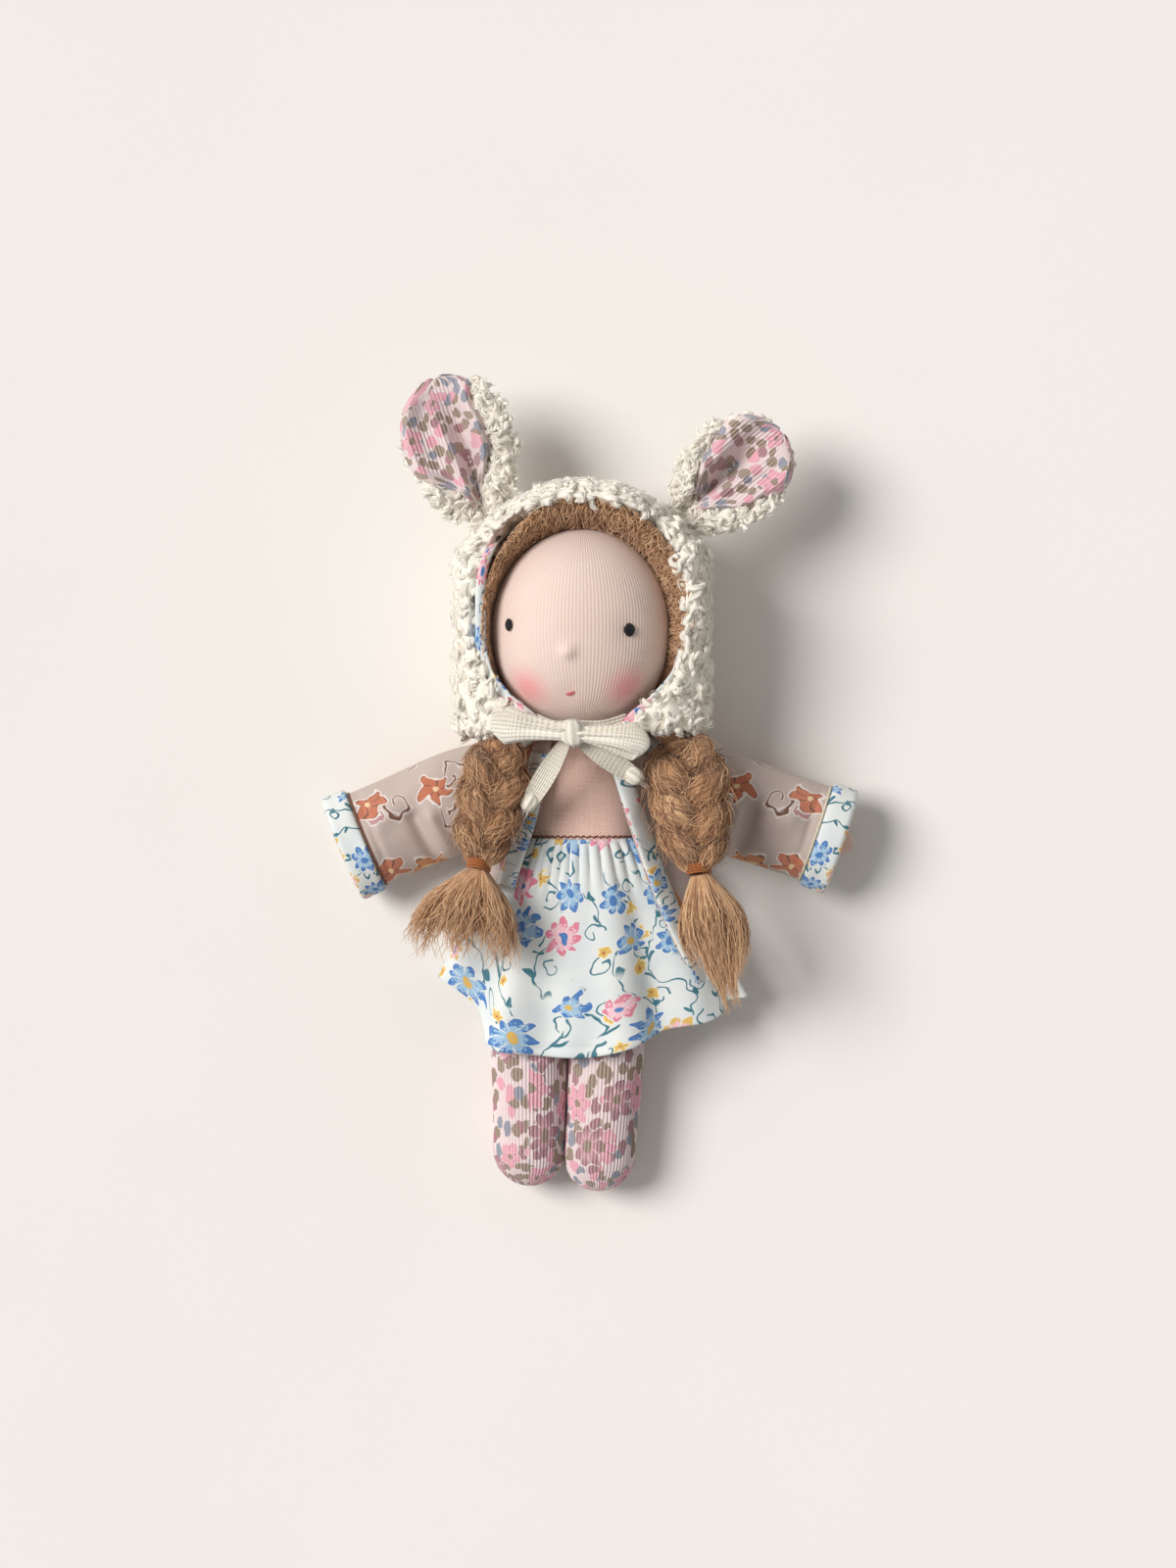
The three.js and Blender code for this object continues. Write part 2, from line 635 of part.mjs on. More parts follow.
const hairCap = cut(withBunches, headClear, neckClear, hood(HAIR, bonnetOut), ...sockets);
const mohair = fabric(0x96693f, 0.75);
piece(head, 'hair_cap', hairCap, mohair);

const plush = fabric(0xebe4d6, 1);
piece(head, 'bonnet_lining', cut(hood(GAP + HAIR + GAP, liningOut), openingCut(-LINING_SHOWS)), liningCotton);
piece(head, 'bonnet_shell', cut(hood(liningOut + BONNET_EASE, bonnetOut), openingCut(0), floorBlock), plush);

// Bunny ears: cupped leaves of plush with a corduroy leaf laid inside
const EARS = {
  left: { around: 42, lean: -49.5, sink: 0, length: 36, width: 29 },
  right: { around: 137, lean: 19, sink: 0.5, length: 40.5, width: 31 },
};
const EAR_FOOT = 3;

function earHalfWidth(t, width) {
  return (width / 2) * Math.sqrt(Math.max(0, 4 * t * (1 - t))) * lerp(0.76, 1.1, t);
}

function earPlush({ length, width }) {
  return warp(new THREE.SphereGeometry(1, 14, 9), (p) => {
    const t = (1 + p.y) / 2;
    const ring = Math.hypot(p.x, p.z);
    const across = ring > 1e-6 ? p.x / ring : 0;
    const rise = ring > 1e-6 ? p.z / ring : 0;
    const x = across * earHalfWidth(t, width);
    const cup = EAR_CUP * (2 * x / width) ** 2 * smoothstep(t, 0, 0.35);
    p.set(x, lerp(-EAR_FOOT, length, t), cup + rise * ring * EAR_THICKNESS / 2);
  });
}

function earLeaf({ length, width }) {
  const start = 0.1;
  return warp(new THREE.SphereGeometry(1, 12, 8), (p) => {
    const ring = Math.hypot(p.x, p.z);
    const across = ring > 1e-6 ? p.x / ring : 0;
    const rise = ring > 1e-6 ? p.z / ring : 0;
    const t = lerp(start, 1 - EAR_LINING_INSET / length, (1 + p.y) / 2);
    const room = Math.max(0, earHalfWidth(t, width) - EAR_LINING_INSET) * Math.min(1, 3 * ring);
    const x = across * room;
    const cup = EAR_CUP * (2 * x / width) ** 2 * smoothstep(t, 0, 0.35);
    const back = Math.sqrt(Math.max(0, 4 * t * (1 - t))) * Math.sqrt(1 - (x / earHalfWidth(t, width)) ** 2);
    const lift = back * EAR_THICKNESS / 2 + GAP + (0.5 + 0.5 * rise * ring) * EAR_LINING;
    p.set(x, lerp(-EAR_FOOT, length, t), cup + lift);
  });
}

const corduroy = fabric(0xe6cfd0);
for (const [name, ear] of Object.entries(EARS)) {
  const reach = headHalf[0] + bonnetOut + GAP + EAR_FOOT - ear.sink;
  const around = degToRad(ear.around);
  const base = [HEAD_X + reach * Math.cos(around), crownY + reach * Math.sin(around), HEAD_Z - EAR_BACK];
  const group = frame(doll, base, [0, 0, degToRad(ear.lean)]);
  piece(group, `ear_plush_${name}`, earPlush(ear), plush);
  piece(group, `ear_lining_${name}`, earLeaf(ear), corduroy);
}

// Braids: scalloped ropes of hair, tied with wound thread, ending in loose tails
const DOWN = new THREE.Vector3(0, -1, 0);

function braidFrame({ root, end }) {
  const run = new THREE.Vector3(...end).sub(new THREE.Vector3(...root));
  const group = frame(doll, root, [0, 0, 0]);
  group.quaternion.setFromUnitVectors(DOWN, run.clone().normalize());
  doll.updateMatrixWorld(true);
  return { group, length: run.length() };
}

const tieHeight = BRAID_TIE_PITCH * BRAID_TIE_LOOPS + BRAID_TIE_THREAD;
const tieCore = BRAID_TIE_RADIUS - BRAID_TIE_THREAD / 2 - GAP;
const BRAID_LOBES = 4;

function braidRope(width, length) {
  const steps = 18;
  const profile = [new THREE.Vector2(0, BRAID_BALL)];
  for (let i = 1; i < steps; i++) {
    const t = i / steps;
    const y = lerp(BRAID_BALL, tieHeight / 2 - length, t);
    const ball = Math.sqrt(Math.max(0, BRAID_BALL ** 2 - y ** 2));
    const lobe = 0.88 + 0.12 * Math.cos(2 * Math.PI * BRAID_LOBES * (t - 0.28));
    const rope = (width / 2) * lobe * lerp(1, 0.72, t) * smoothstep(t, 0.1, 0.22);
    const neck = lerp(1, tieCore / (0.36 * width), smoothstep(t, 0.82, 1));
    profile.push(new THREE.Vector2(Math.max(y > 0 ? ball : Math.max(ball, rope * neck), 0.5), y));
  }
  profile.push(new THREE.Vector2(tieCore, tieHeight / 2 - length));
  profile.push(new THREE.Vector2(tieCore, -tieHeight / 2 - length));
  profile.push(new THREE.Vector2(0, -tieHeight / 2 - length));
  return warp(new THREE.LatheGeometry(profile, 10), (p) => {
    const sway = smoothstep(-p.y, 6, 12) * (1 - smoothstep(-p.y, length - 9, length - 4));
    p.x += sway * 1.1 * Math.sin((Math.PI * BRAID_LOBES * -p.y) / length);
    p.z *= lerp(1, 0.92, sway);
  });
}

function hairTail({ end, tip, tailWidth }, group) {
  const from = new THREE.Vector3(...end);
  const run = new THREE.Vector3(...tip).sub(from);
  const length = run.length();
  const top = tieHeight / 2 + GAP;
  const profile = [new THREE.Vector2(0, -top)];
  const widths = [[0, 0.42], [0.12, 0.56], [0.35, 0.92], [0.6, 1], [0.85, 0.8], [1, 0.3]];
  for (const [t, share] of widths) {
    profile.push(new THREE.Vector2((share * tailWidth) / 2, lerp(-top, -length, t)));
  }
  profile.push(new THREE.Vector2(0, -length));
  const tail = warp(new THREE.LatheGeometry(profile, 12), (p) => {
    p.z *= lerp(0.8, 0.55, smoothstep(-p.y, top, length));
  });
  const turn = new THREE.Quaternion().setFromUnitVectors(DOWN, run.clone().normalize());
  tail.applyQuaternion(turn).translate(...end);
  return seenFrom(group, tail);
}

for (const [name, braid] of Object.entries(BRAIDS)) {
  const { group, length } = braidFrame(braid);
  const rope = braidRope(braid.width, length);
  piece(group, `braid_${name}`, rope, mohair);
  const tieName = `braid_tie_${name}`;
  const tie = winding(tieName, BRAID_TIE_RADIUS, BRAID_TIE_THREAD, BRAID_TIE_PITCH, BRAID_TIE_LOOPS);
  piece(group, tieName, tie.translate(0, -length, 0), fabric(0xa8632f, 0.7));
  const tieReach = BRAID_TIE_RADIUS + BRAID_TIE_THREAD + GAP;
  const tieSpace = new THREE.CylinderGeometry(tieReach, tieReach, tieHeight + 2 * GAP, 16);
  const tail = cut(hairTail(braid, group), tieSpace.translate(0, -length, 0));
  piece(group, `braid_tail_${name}`, tail, mohair);
}

// Tie tapes: a knot under the chin, two loops, two tails with end knots, a tape to each side of the bonnet
const bowAt = [BOW_X, NECK_Y, BOW_Z];
const tapeColor = fabric(0xf0e8d7);
piece(head, 'bow_knot', ellipsoid(...BOW_KNOT.map((size) => size / 2), 12, 8).translate(...bowAt), tapeColor);
const knotClear = ellipsoid(...BOW_KNOT.map((size) => size / 2 + GAP), 12, 8).translate(...bowAt);

// A flat loop of tape seen from its broad side: two leaves of tape that meet at the far end
function bowLoop(far, rise, lift, width) {
  const outline = new THREE.Shape();
  const length = Math.hypot(far, rise);
  outline.moveTo(0, -0.3);
  outline.bezierCurveTo(0.3 * length, -1.5 * lift, length, -1.3 * lift, length, 0);
  outline.bezierCurveTo(length, 1.3 * lift, 0.3 * length, 1.5 * lift, 0, 0.3);
  const outer = prism(outline, -width / 2, width / 2, 8);
  const hole = new THREE.Shape();
  hole.moveTo(0.18 * length, -0.1);
  hole.bezierCurveTo(0.4 * length, TAPE - 1.5 * lift, length - TAPE, TAPE - 1.3 * lift, length - TAPE, 0);
  hole.bezierCurveTo(length - TAPE, 1.3 * lift - TAPE, 0.4 * length, 1.5 * lift - TAPE, 0.18 * length, 0.1);
  const loop = cut(outer, prism(hole, -width, width, 8));
  warp(loop, (p) => {
    p.z *= lerp(0.42, 1, smoothstep(p.x, 0, 0.5 * length));
  });
  loop.rotateX(Math.PI / 2).rotateZ(Math.atan2(rise, far)).translate(...bowAt);
  return cut(loop, knotClear);
}
piece(head, 'bow_loop_right', bowLoop(-23.4, 0.6, 2.6, 1.3 * TAPE_WIDTH), tapeColor);
piece(head, 'bow_loop_left', bowLoop(20.6, -2.4, 3, 1.15 * TAPE_WIDTH), tapeColor);

// Tape along hand-chosen points, lying flat, with its width given by t
function tapeAlong(points, widthAt, steps) {
  const route = new THREE.CatmullRomCurve3(points.map((p) => new THREE.Vector3(...p)));
  const up = new THREE.Vector3(0, 0, 1);
  return warp(new THREE.BoxGeometry(1, 1, 1, 2, steps, 1), (p) => {
    const t = p.y + 0.5;
    const along = route.getTangent(t);
    const across = new THREE.Vector3().crossVectors(along, up).normalize();
    const above = new THREE.Vector3().crossVectors(across, along);
    const { x, z } = p;
    p.copy(route.getPoint(t)).addScaledVector(across, x * widthAt(t)).addScaledVector(above, z * TAPE);
  });
}

function bowTail(side, tipX, tipY) {
  const start = [BOW_X + 2.2 * side, NECK_Y - 2.6, BOW_Z - 3.2];
  const middle = [lerp(start[0], tipX, 0.45), lerp(start[1], tipY, 0.45), BOW_Z - 7];
  const tip = [tipX, tipY, BOW_Z - 10];
  const widthAt = (t) => lerp(0.35, 0.75, smoothstep(t, 0, 0.6)) * TAPE_WIDTH;
  const tail = tapeAlong([start, middle, tip], widthAt, 6);
  const knot = ellipsoid(END_KNOT_RADIUS, END_KNOT_RADIUS, 0.85 * END_KNOT_RADIUS, 10, 6);
  return cut(join(tail, knot.translate(...tip)), knotClear);
}
piece(head, 'bow_tail_right', bowTail(-1, -13.5, 11.5), tapeColor);
piece(head, 'bow_tail_left', bowTail(1, 15.5, 18.8), tapeColor);

// Chin tapes run from behind the knot to the corners of the bonnet's opening
function chinTape(side) {
  const corner = HEAD_X + side * (BONNET_OPENING_CHIN / 2 - LINING_SHOWS - 3 * GAP);
  const points = [
    [BOW_X + 2 * side, NECK_Y + 1.4, BOW_Z - 3.6],
    [lerp(BOW_X, corner, 0.6), NECK_Y + 1.2, BOW_Z - 5],
    [corner, NECK_Y + 2.4, HEAD_Z + 11],
  ];
  return cut(tapeAlong(points, () => 0.5 * TAPE_WIDTH, 6), knotClear, headClear);
}
piece(head, 'chin_tape_left', chinTape(1), tapeColor);
piece(head, 'chin_tape_right', chinTape(-1), tapeColor);

// Arms: linen limbs that turn on the torso's sides, in sleeves with turned-back cuffs
function limb(radius, length, depthShare) {
  const profile = [];
  const arc = 4;
  for (let i = 0; i <= arc; i++) {
    const angle = (Math.PI / 2) * (i / arc - 1);
    profile.push(new THREE.Vector2(radius * Math.cos(angle), radius * Math.sin(angle)));
  }
  profile.push(new THREE.Vector2(0.96 * radius, 0.45 * length));
  for (let i = 0; i <= arc; i++) {
    const angle = (Math.PI / 2) * (i / arc);
    const x = 0.94 * radius * Math.cos(angle);
    profile.push(new THREE.Vector2(x, length - radius + radius * Math.sin(angle)));
  }
  profile[0].x = 0;
  profile.at(-1).x = 0;
  return warp(new THREE.LatheGeometry(profile, 12), (p) => {
    p.z *= lerp(1, depthShare, smoothstep(p.y, 0, 0.3 * length));
  });
}

const ARMS = {
  left: { side: 1, drop: ARM_LEFT_DROP, length: ARM_LEFT_LENGTH },
  right: { side: -1, drop: ARM_RIGHT_DROP, length: ARM_RIGHT_LENGTH },
};
const jacketEnvelope = clothCore(jacketPlace, shellLift - liningLift + JACKET_COTTON + GAP, 24, jacketRows);

function sleevePlace(angle, t, lift) {
  const y = lerp(-3, SLEEVE_LENGTH, t);
  const halfWidth = onKeys([[0, 0.85], [0.3, 1.05], [1, 1]], t) * SLEEVE_WIDTH / 2;
  const halfDepth = SLEEVE_DEPTH / 2;
  const inset = JACKET_COTTON + CUFF_COTTON + GAP - lift;
  const [x, z] = oval(angle, halfWidth - inset, halfDepth - inset);
  return new THREE.Vector3(x, y, z);
}

function cuffPlace(angle, t, lift) {
  const start = 1 - CUFF_WIDTH / (SLEEVE_LENGTH + 3);
  return sleevePlace(angle, lerp(start, 1, t), JACKET_COTTON + GAP + lift);
}

const linen = fabric(0xc89178);
for (const [name, arm] of Object.entries(ARMS)) {
  const direction = arm.side > 0 ? -arm.drop - 90 : 90 + arm.drop;
  const pivot = [TORSO_X + arm.side * shoulderReach, SHOULDER_Y, ARM_Z];
  const group = frame(doll, pivot, [0, 0, degToRad(direction)]);
  const cover = limb(armHalf, arm.length, 0.9);
  const seam = new THREE.CylinderGeometry(0.3 * armHalf, 0.3 * armHalf, armHalf, 10);
  const hollow = limb(armHalf - LINEN, arm.length - LINEN, 0.9);
  piece(group, `arm_cover_${name}`, cut(cover, hollow, seam.translate(0, -armHalf, 0)), linen);
  const inset = LINEN + GAP;
  piece(group, `arm_stuffing_${name}`, limb(armHalf - inset, arm.length - inset, 0.9), fabric(0xf1ead9, 1));
  const sleeve = clothTube(sleevePlace, JACKET_COTTON, 18, [0, 0.15, 0.3, 0.65, 1]);
  piece(group, `sleeve_${name}`, cut(sleeve, seenFrom(group, jacketEnvelope)), jacketCotton);
  piece(group, `cuff_${name}`, clothTube(cuffPlace, CUFF_COTTON, 18, [0, 1]), liningCotton);
}

// Lower skirt, which folds with the legs
const lap = frame(doll, [0, 0, 0], [0, 0, 0]);
piece(lap, 'skirt_flare', shared(skirt, belowHips), skirtCotton);

// Legs: stuffed corduroy with round tops that turn at the hips
function legShape(inset, open) {
  const half = LEG_WIDTH / 2 - inset;
  const toe = inset - LEG_LENGTH;
  const footHalf = FOOT_TAPER * LEG_WIDTH / 2 - inset;
  const topHalf = LEG_DEPTH / 2 - inset;
  const arc = 5;
  const profile = [];
  for (let i = 0; i <= arc; i++) {
    const angle = (Math.PI / 2) * (i / arc);
    profile.push(new THREE.Vector2(footHalf * Math.sin(angle), toe + footHalf * (1 - Math.cos(angle))));
  }
  profile.push(new THREE.Vector2(half, 0.5 * -LEG_LENGTH), new THREE.Vector2(half, 0.22 * -LEG_LENGTH));
  for (let i = 0; i <= arc; i++) {
    const angle = (Math.PI / 2) * (i / arc) * open;
    profile.push(new THREE.Vector2(topHalf * Math.cos(angle), topHalf * Math.sin(angle)));
  }
  profile[0].x = 0;
  return profile;
}

function legTurned(profile, around) {
  return warp(new THREE.LatheGeometry(profile, around), (p) => {
    p.z *= lerp(LEG_DEPTH / LEG_WIDTH, 1, smoothstep(p.y, -0.3 * LEG_LENGTH, 0));
  });
}

const LEGS = { left: 1, right: -1 };
const legSeamShare = 0.75;
for (const [name, side] of Object.entries(LEGS)) {
  const hip = [HIP_X + side * (LEG_WIDTH + LEG_GAP) / 2, HIP_Y, HIP_Z];
  const group = frame(doll, hip, [Math.asin(FOOT_DROP / LEG_LENGTH), 0, 0]);
  const cover = [...legShape(0, legSeamShare), ...legShape(CORDUROY, legSeamShare).toReversed()];
  piece(group, `leg_cover_${name}`, legTurned(cover, 14), corduroy);
  const inset = CORDUROY + GAP;
  const stuffing = legShape(inset, legSeamShare);
  stuffing.push(new THREE.Vector2(0, stuffing.at(-1).y));
  piece(group, `leg_stuffing_${name}`, legTurned(stuffing, 14), fabric(0xf1ead9, 1));
}

export default doll;
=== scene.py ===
"""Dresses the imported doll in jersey, mohair, curly plush, printed cotton, corduroy, tape and stitches.

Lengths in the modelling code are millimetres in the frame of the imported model, and are made metres
when a mesh gets its points. Left and right are the doll's own.
"""
import json
import math
import random
from bisect import bisect
from functools import partial
from itertools import accumulate

import bmesh
import bpy
from bpy.props import FloatProperty, FloatVectorProperty, IntProperty, PointerProperty
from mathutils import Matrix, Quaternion, Vector, noise


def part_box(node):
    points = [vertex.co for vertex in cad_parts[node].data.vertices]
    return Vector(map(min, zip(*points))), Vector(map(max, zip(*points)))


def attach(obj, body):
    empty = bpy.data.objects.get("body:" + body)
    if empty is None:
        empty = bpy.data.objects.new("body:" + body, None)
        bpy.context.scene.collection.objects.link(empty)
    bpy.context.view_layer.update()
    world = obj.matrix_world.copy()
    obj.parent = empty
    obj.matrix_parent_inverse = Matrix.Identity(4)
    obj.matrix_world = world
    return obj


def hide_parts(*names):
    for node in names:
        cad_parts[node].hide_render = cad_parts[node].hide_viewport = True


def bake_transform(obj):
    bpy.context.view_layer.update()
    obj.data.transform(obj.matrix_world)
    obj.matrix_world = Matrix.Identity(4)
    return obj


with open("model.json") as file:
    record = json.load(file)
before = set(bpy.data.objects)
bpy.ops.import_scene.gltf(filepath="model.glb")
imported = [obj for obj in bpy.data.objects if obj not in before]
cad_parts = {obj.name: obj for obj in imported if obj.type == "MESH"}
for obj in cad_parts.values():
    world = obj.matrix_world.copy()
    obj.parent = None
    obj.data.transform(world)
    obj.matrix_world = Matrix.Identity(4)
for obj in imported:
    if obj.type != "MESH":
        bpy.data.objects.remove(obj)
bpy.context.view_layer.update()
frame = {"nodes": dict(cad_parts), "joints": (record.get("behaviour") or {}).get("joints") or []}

bl_info = {
    "name": "Doll in a bunny bonnet",
    "version": (1, 0, 0),
    "blender": (4, 5, 0),
    "location": "3D View > Sidebar > Doll",
    "description": "Builds the soft pieces of a small cloth doll on its packed frame",
    "category": "Add Mesh",
}

MM = 0.001
TAU = 2 * math.pi
UP = Vector((0, 0, 1))
UNDERNEATH = Vector((0, 0, -2000))
SIDES = {"left": 1, "right": -1}
FLOOR_EASE = 0.3


def node_box(node):
    """Lowest corner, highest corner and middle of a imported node, in millimetres."""
    low, high = (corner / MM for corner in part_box(node))
    return low, high, (low + high) / 2


def joint_place(name):
    """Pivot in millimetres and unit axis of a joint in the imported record."""
    joint = next(j for j in frame["joints"] if j["name"] == name)
    return Vector(joint["pos_m"]) / MM, Vector(joint["axis"])


# Places that several pieces share, read from the frame
HEAD_HEIGHT = 56
HEAD_HALF_DEPTH = 23
SKIN_LOW, SKIN_HIGH, _ = node_box("head_skin")
_, _, CORE_MID = node_box("head_core")
HEAD_HALF = Vector(((SKIN_HIGH.x - SKIN_LOW.x) / 2, HEAD_HEIGHT / 2, HEAD_HALF_DEPTH))
HEAD_MID = Vector((CORE_MID.x, SKIN_HIGH.y - HEAD_HEIGHT / 2, CORE_MID.z))
TORSO_LOW, TORSO_HIGH, TORSO_MID = node_box("torso_cover")
TORSO_HALF = (TORSO_HIGH - TORSO_LOW) / 2
BODY_Z = TORSO_MID.z
BOW_MID = node_box("bow_knot")[2]


def srgb(red, green, blue):
    """A screen colour, from 0 to 255, as the linear colour that a shader takes."""
    shares = (red / 255, green / 255, blue / 255)
    return tuple(c / 12.92 if c <= 0.04045 else ((c + 0.055) / 1.055) ** 2.4 for c in shares)


def colour(name, red, green, blue):
    """A colour that a user may change."""
    return FloatVectorProperty(
        name=name,
        description=f"Colour of the {name.lower()}",
        subtype="COLOR",
        size=3,
        min=0,
        max=1,
        default=srgb(red, green, blue),
    )


def length(name, description, default):
    """A length that a user may change, given in millimetres."""
    return FloatProperty(
        name=name, description=description, subtype="DISTANCE", unit="LENGTH", default=default * MM
    )


def number_of(name, description, default):
    """A number of fibres that a user may change."""
    return IntProperty(name=name, description=description, default=default, min=0)


class DollColours(bpy.types.PropertyGroup):
    """Colours of the doll's cloths, threads and hair."""

    skin: colour("Jersey skin", 238, 214, 201)
    blush: colour("Blush", 244, 128, 136)
    eye: colour("Eye thread", 22, 23, 30)
    mouth: colour("Mouth thread", 236, 120, 126)
    hair: colour("Mohair", 176, 125, 82)
    hair_light: colour("Light mohair", 224, 182, 138)
    hair_dark: colour("Dark mohair", 96, 62, 40)
    plush: colour("Curly plush", 253, 244, 230)
    tape: colour("Tie tape", 250, 243, 228)
    tie: colour("Braid winding", 178, 104, 52)
    ecru: colour("Ecru thread", 232, 220, 196)
    brown: colour("Brown thread", 142, 88, 68)
    # painted light: the linen is set lighter than its own dusty rose, to lift the shade that the bow, braids
    # and jacket cast on the body
    linen: colour("Linen body", 255, 224, 208)
    jacket: colour("Jacket ground", 196, 179, 170)
    rust: colour("Jacket blossoms", 196, 116, 86)
    bark: colour("Jacket sprigs", 116, 76, 62)
    cotton: colour("Cotton ground", 232, 235, 231)
    blue: colour("Blue blossoms", 72, 126, 192)
    sky: colour("Pale blue blossoms", 162, 198, 226)
    pink: colour("Pink blossoms", 228, 130, 152)
    ochre: colour("Ochre blossoms", 226, 184, 96)
    stem: colour("Stems", 54, 118, 134)
    corduroy: colour("Corduroy ground", 236, 218, 216)
    rose: colour("Corduroy blossoms", 234, 162, 178)
    mauve: colour("Corduroy leaves", 158, 106, 114)
    olive: colour("Corduroy pebbles", 138, 120, 94)
    slate: colour("Corduroy grey pebbles", 124, 138, 154)
    floor: colour("Floor", 243, 239, 233)


class DollSizes(bpy.types.PropertyGroup):
    """Sizes of the doll's textures and counts of its fibres."""

    wale: length("Wale", "Pitch of the corduroy's ribs", 1.05)
    jersey_rib: length("Jersey rib", "Pitch of the ribs of the knitted skin", 1.0)
    hair: length("Hair", "Radius of one drawn lock of mohair", 0.12)
    curl: length("Curl", "Radius of a plump plush curl", 0.8)
    fibre: length("Fibre", "Radius of a fine fibre on the plush", 0.12)
    curls: number_of("Curls", "Plush curls on the bonnet", 3300)
    ear_curls: number_of("Ear curls", "Plush curls on each ear", 620)
    ring_hairs: number_of("Ring hairs", "Locks of hair round the face", 2500)
    braid_hairs: number_of("Braid hairs", "Locks on each strand of a braid", 850)
    tail_hairs: number_of("Tail hairs", "Locks in each tail", 2200)


def sizes():
    """The sizes that this scene uses."""
    return bpy.context.scene.doll_sizes


def lerp(a, b, t):
    return a + (b - a) * t


def clamp(value, low=0, high=1):
    return min(high, max(low, value))


def smooth(t, start, end):
    """0 before start, 1 after end, and an even rise between them."""
    t = clamp((t - start) / (end - start))
    return t * t * (3 - 2 * t)


def window(t, start, full, fading, end):
    """Rises from 0 at start to 1 at full, and falls from 1 at fading to 0 at end."""
    return smooth(t, start, full) * (1 - smooth(t, fading, end))


def bell(distance, width):
    """1 at no distance, fading over the width."""
    return math.exp(-((distance / width) ** 2))


def arch(t):
    """Half a turn of a sine: 0 at both ends of t from 0 to 1, and 1 in the middle."""
    return math.sin(math.pi * t)


def bulge(value, power):
    """A power that keeps the sign, to make an oval fuller or slimmer."""
    return math.copysign(abs(value) ** power, value)


def on_keys(keys, t):
    """Value at t on a smooth curve through (t, value) keys."""
    t = clamp(t, keys[0][0], keys[-1][0])
    i = max(k for k in range(len(keys) - 1) if keys[k][0] <= t or k == 0)
    (t0, v0), (t1, v1) = keys[i], keys[i + 1]
    before = keys[max(i - 1, 0)]
    after = keys[min(i + 2, len(keys) - 1)]
    f = (t - t0) / (t1 - t0)
    leave = (v1 - before[1]) / (t1 - before[0]) * (t1 - t0)
    arrive = (after[1] - v0) / (after[0] - t0) * (t1 - t0)
    return lerp(v0, v1, smooth(f, 0, 1)) + f * (1 - f) * ((1 - f) * leave - f * arrive)


def route(points, t):
    """Point at t, from 0 to 1, on a smooth curve through the points."""
    last = len(points) - 1
    at = clamp(t) * last
    i = min(int(at), last - 1)
    f = at - i
    before, a, b, after = points[max(i - 1, 0)], points[i], points[i + 1], points[min(i + 2, last)]
    return a.lerp(b, smooth(f, 0, 1)) + f * (1 - f) * ((1 - f) * (b - before) / 2 - f * (after - a) / 2)


def creases(x, y, lines):
    """Height of folds of cloth at (x, y): lines in plan, each with two ends, a width and a height."""
    total = 0
    for start, end, width, height in lines:
        run = Vector(end) - Vector(start)
        at = Vector((x, y)) - Vector(start)
        away = at - run * clamp(at.dot(run) / run.length_squared)
        total += height * bell(away.length, width)
    return total


def waver(point, size, seed=0):
    """Smooth noise from about -1 to 1, with humps of the given size in millimetres."""
    return noise.noise(Vector(point) / size + Vector((seed * 7.3, seed * 3.1, seed * 5.7)))


def around_y(middle, y, half_x, half_z, angle):
    """Point of an oval at a height, round an axis through the middle."""
    return Vector((middle.x + half_x * math.sin(angle), y, middle.z + half_z * math.cos(angle)))


def windings(turns, steps=24):
    """Angle and share of the way at each step along a thread that is wound some turns round."""
    last = turns * steps
    return [(TAU * i / steps, i / last) for i in range(last + 1)]


def sheet_grid(columns, rows, place, flat, facing=None, start=(0, 0)):
    """A welded grid: place(u, v) is a point in millimetres, and the UV map is the flat cloth in millimetres.

    The cloth is cut from its print at start. Faces turn away from the point facing, or the grid's middle.
    """
    mesh = bmesh.new()
    bmesh.ops.create_grid(mesh, x_segments=columns, y_segments=rows, size=0.5)
    cloth = mesh.loops.layers.uv.new("cloth")
    for face in mesh.faces:
        for loop in face.loops:
            u, v, _ = loop.vert.co + Vector((0.5, 0.5, 0))
            loop[cloth].uv = (start[0] + u * flat[0], start[1] + v * flat[1])
    for vert in mesh.verts:
        vert.co = MM * Vector(place(vert.co.x + 0.5, vert.co.y + 0.5))
    bmesh.ops.remove_doubles(mesh, verts=mesh.verts, dist=1e-7)
    bmesh.ops.recalc_face_normals(mesh, faces=mesh.faces)
    middle = sum((v.co for v in mesh.verts), Vector()) / len(mesh.verts)
    inside = middle if facing is None else facing * MM
    if sum(f.normal.dot(f.calc_center_median() - inside) * f.calc_area() for f in mesh.faces) < 0:
        bmesh.ops.reverse_faces(mesh, faces=mesh.faces)
    return mesh


def evaluated_copy(holder):
    """The mesh that an object's modifiers or bevel give, with the object removed."""
    bpy.context.scene.collection.objects.link(holder)
    depsgraph = bpy.context.evaluated_depsgraph_get()
    data = bpy.data.meshes.new_from_object(holder.evaluated_get(depsgraph))
    bpy.data.objects.remove(holder)
    return data


def add_threads(mesh, threads, radius):
    """Adds thin tubes to a bmesh. Each thread is its points in millimetres and their shares of the radius."""
    curve = bpy.data.curves.new("threads", "CURVE")
    curve.dimensions = "3D"
    curve.bevel_depth = radius * MM
    curve.bevel_resolution = 0
    curve.use_fill_caps = True
    for points, shares in threads:
        spline = curve.splines.new("POLY")
        spline.points.add(len(points) - 1)
        spline.points.foreach_set("co", [c for p in points for c in (*(p * MM), 1)])
        spline.points.foreach_set("radius", shares)
    data = evaluated_copy(bpy.data.objects.new("threads", curve))
    mesh.from_mesh(data)
    bpy.data.meshes.remove(data)
    bpy.data.curves.remove(curve)
    return mesh


def one_thread(points, radius):
    """A bmesh of a single thread of even thickness."""
    return add_threads(bmesh.new(), [(points, [1] * len(points))], radius)


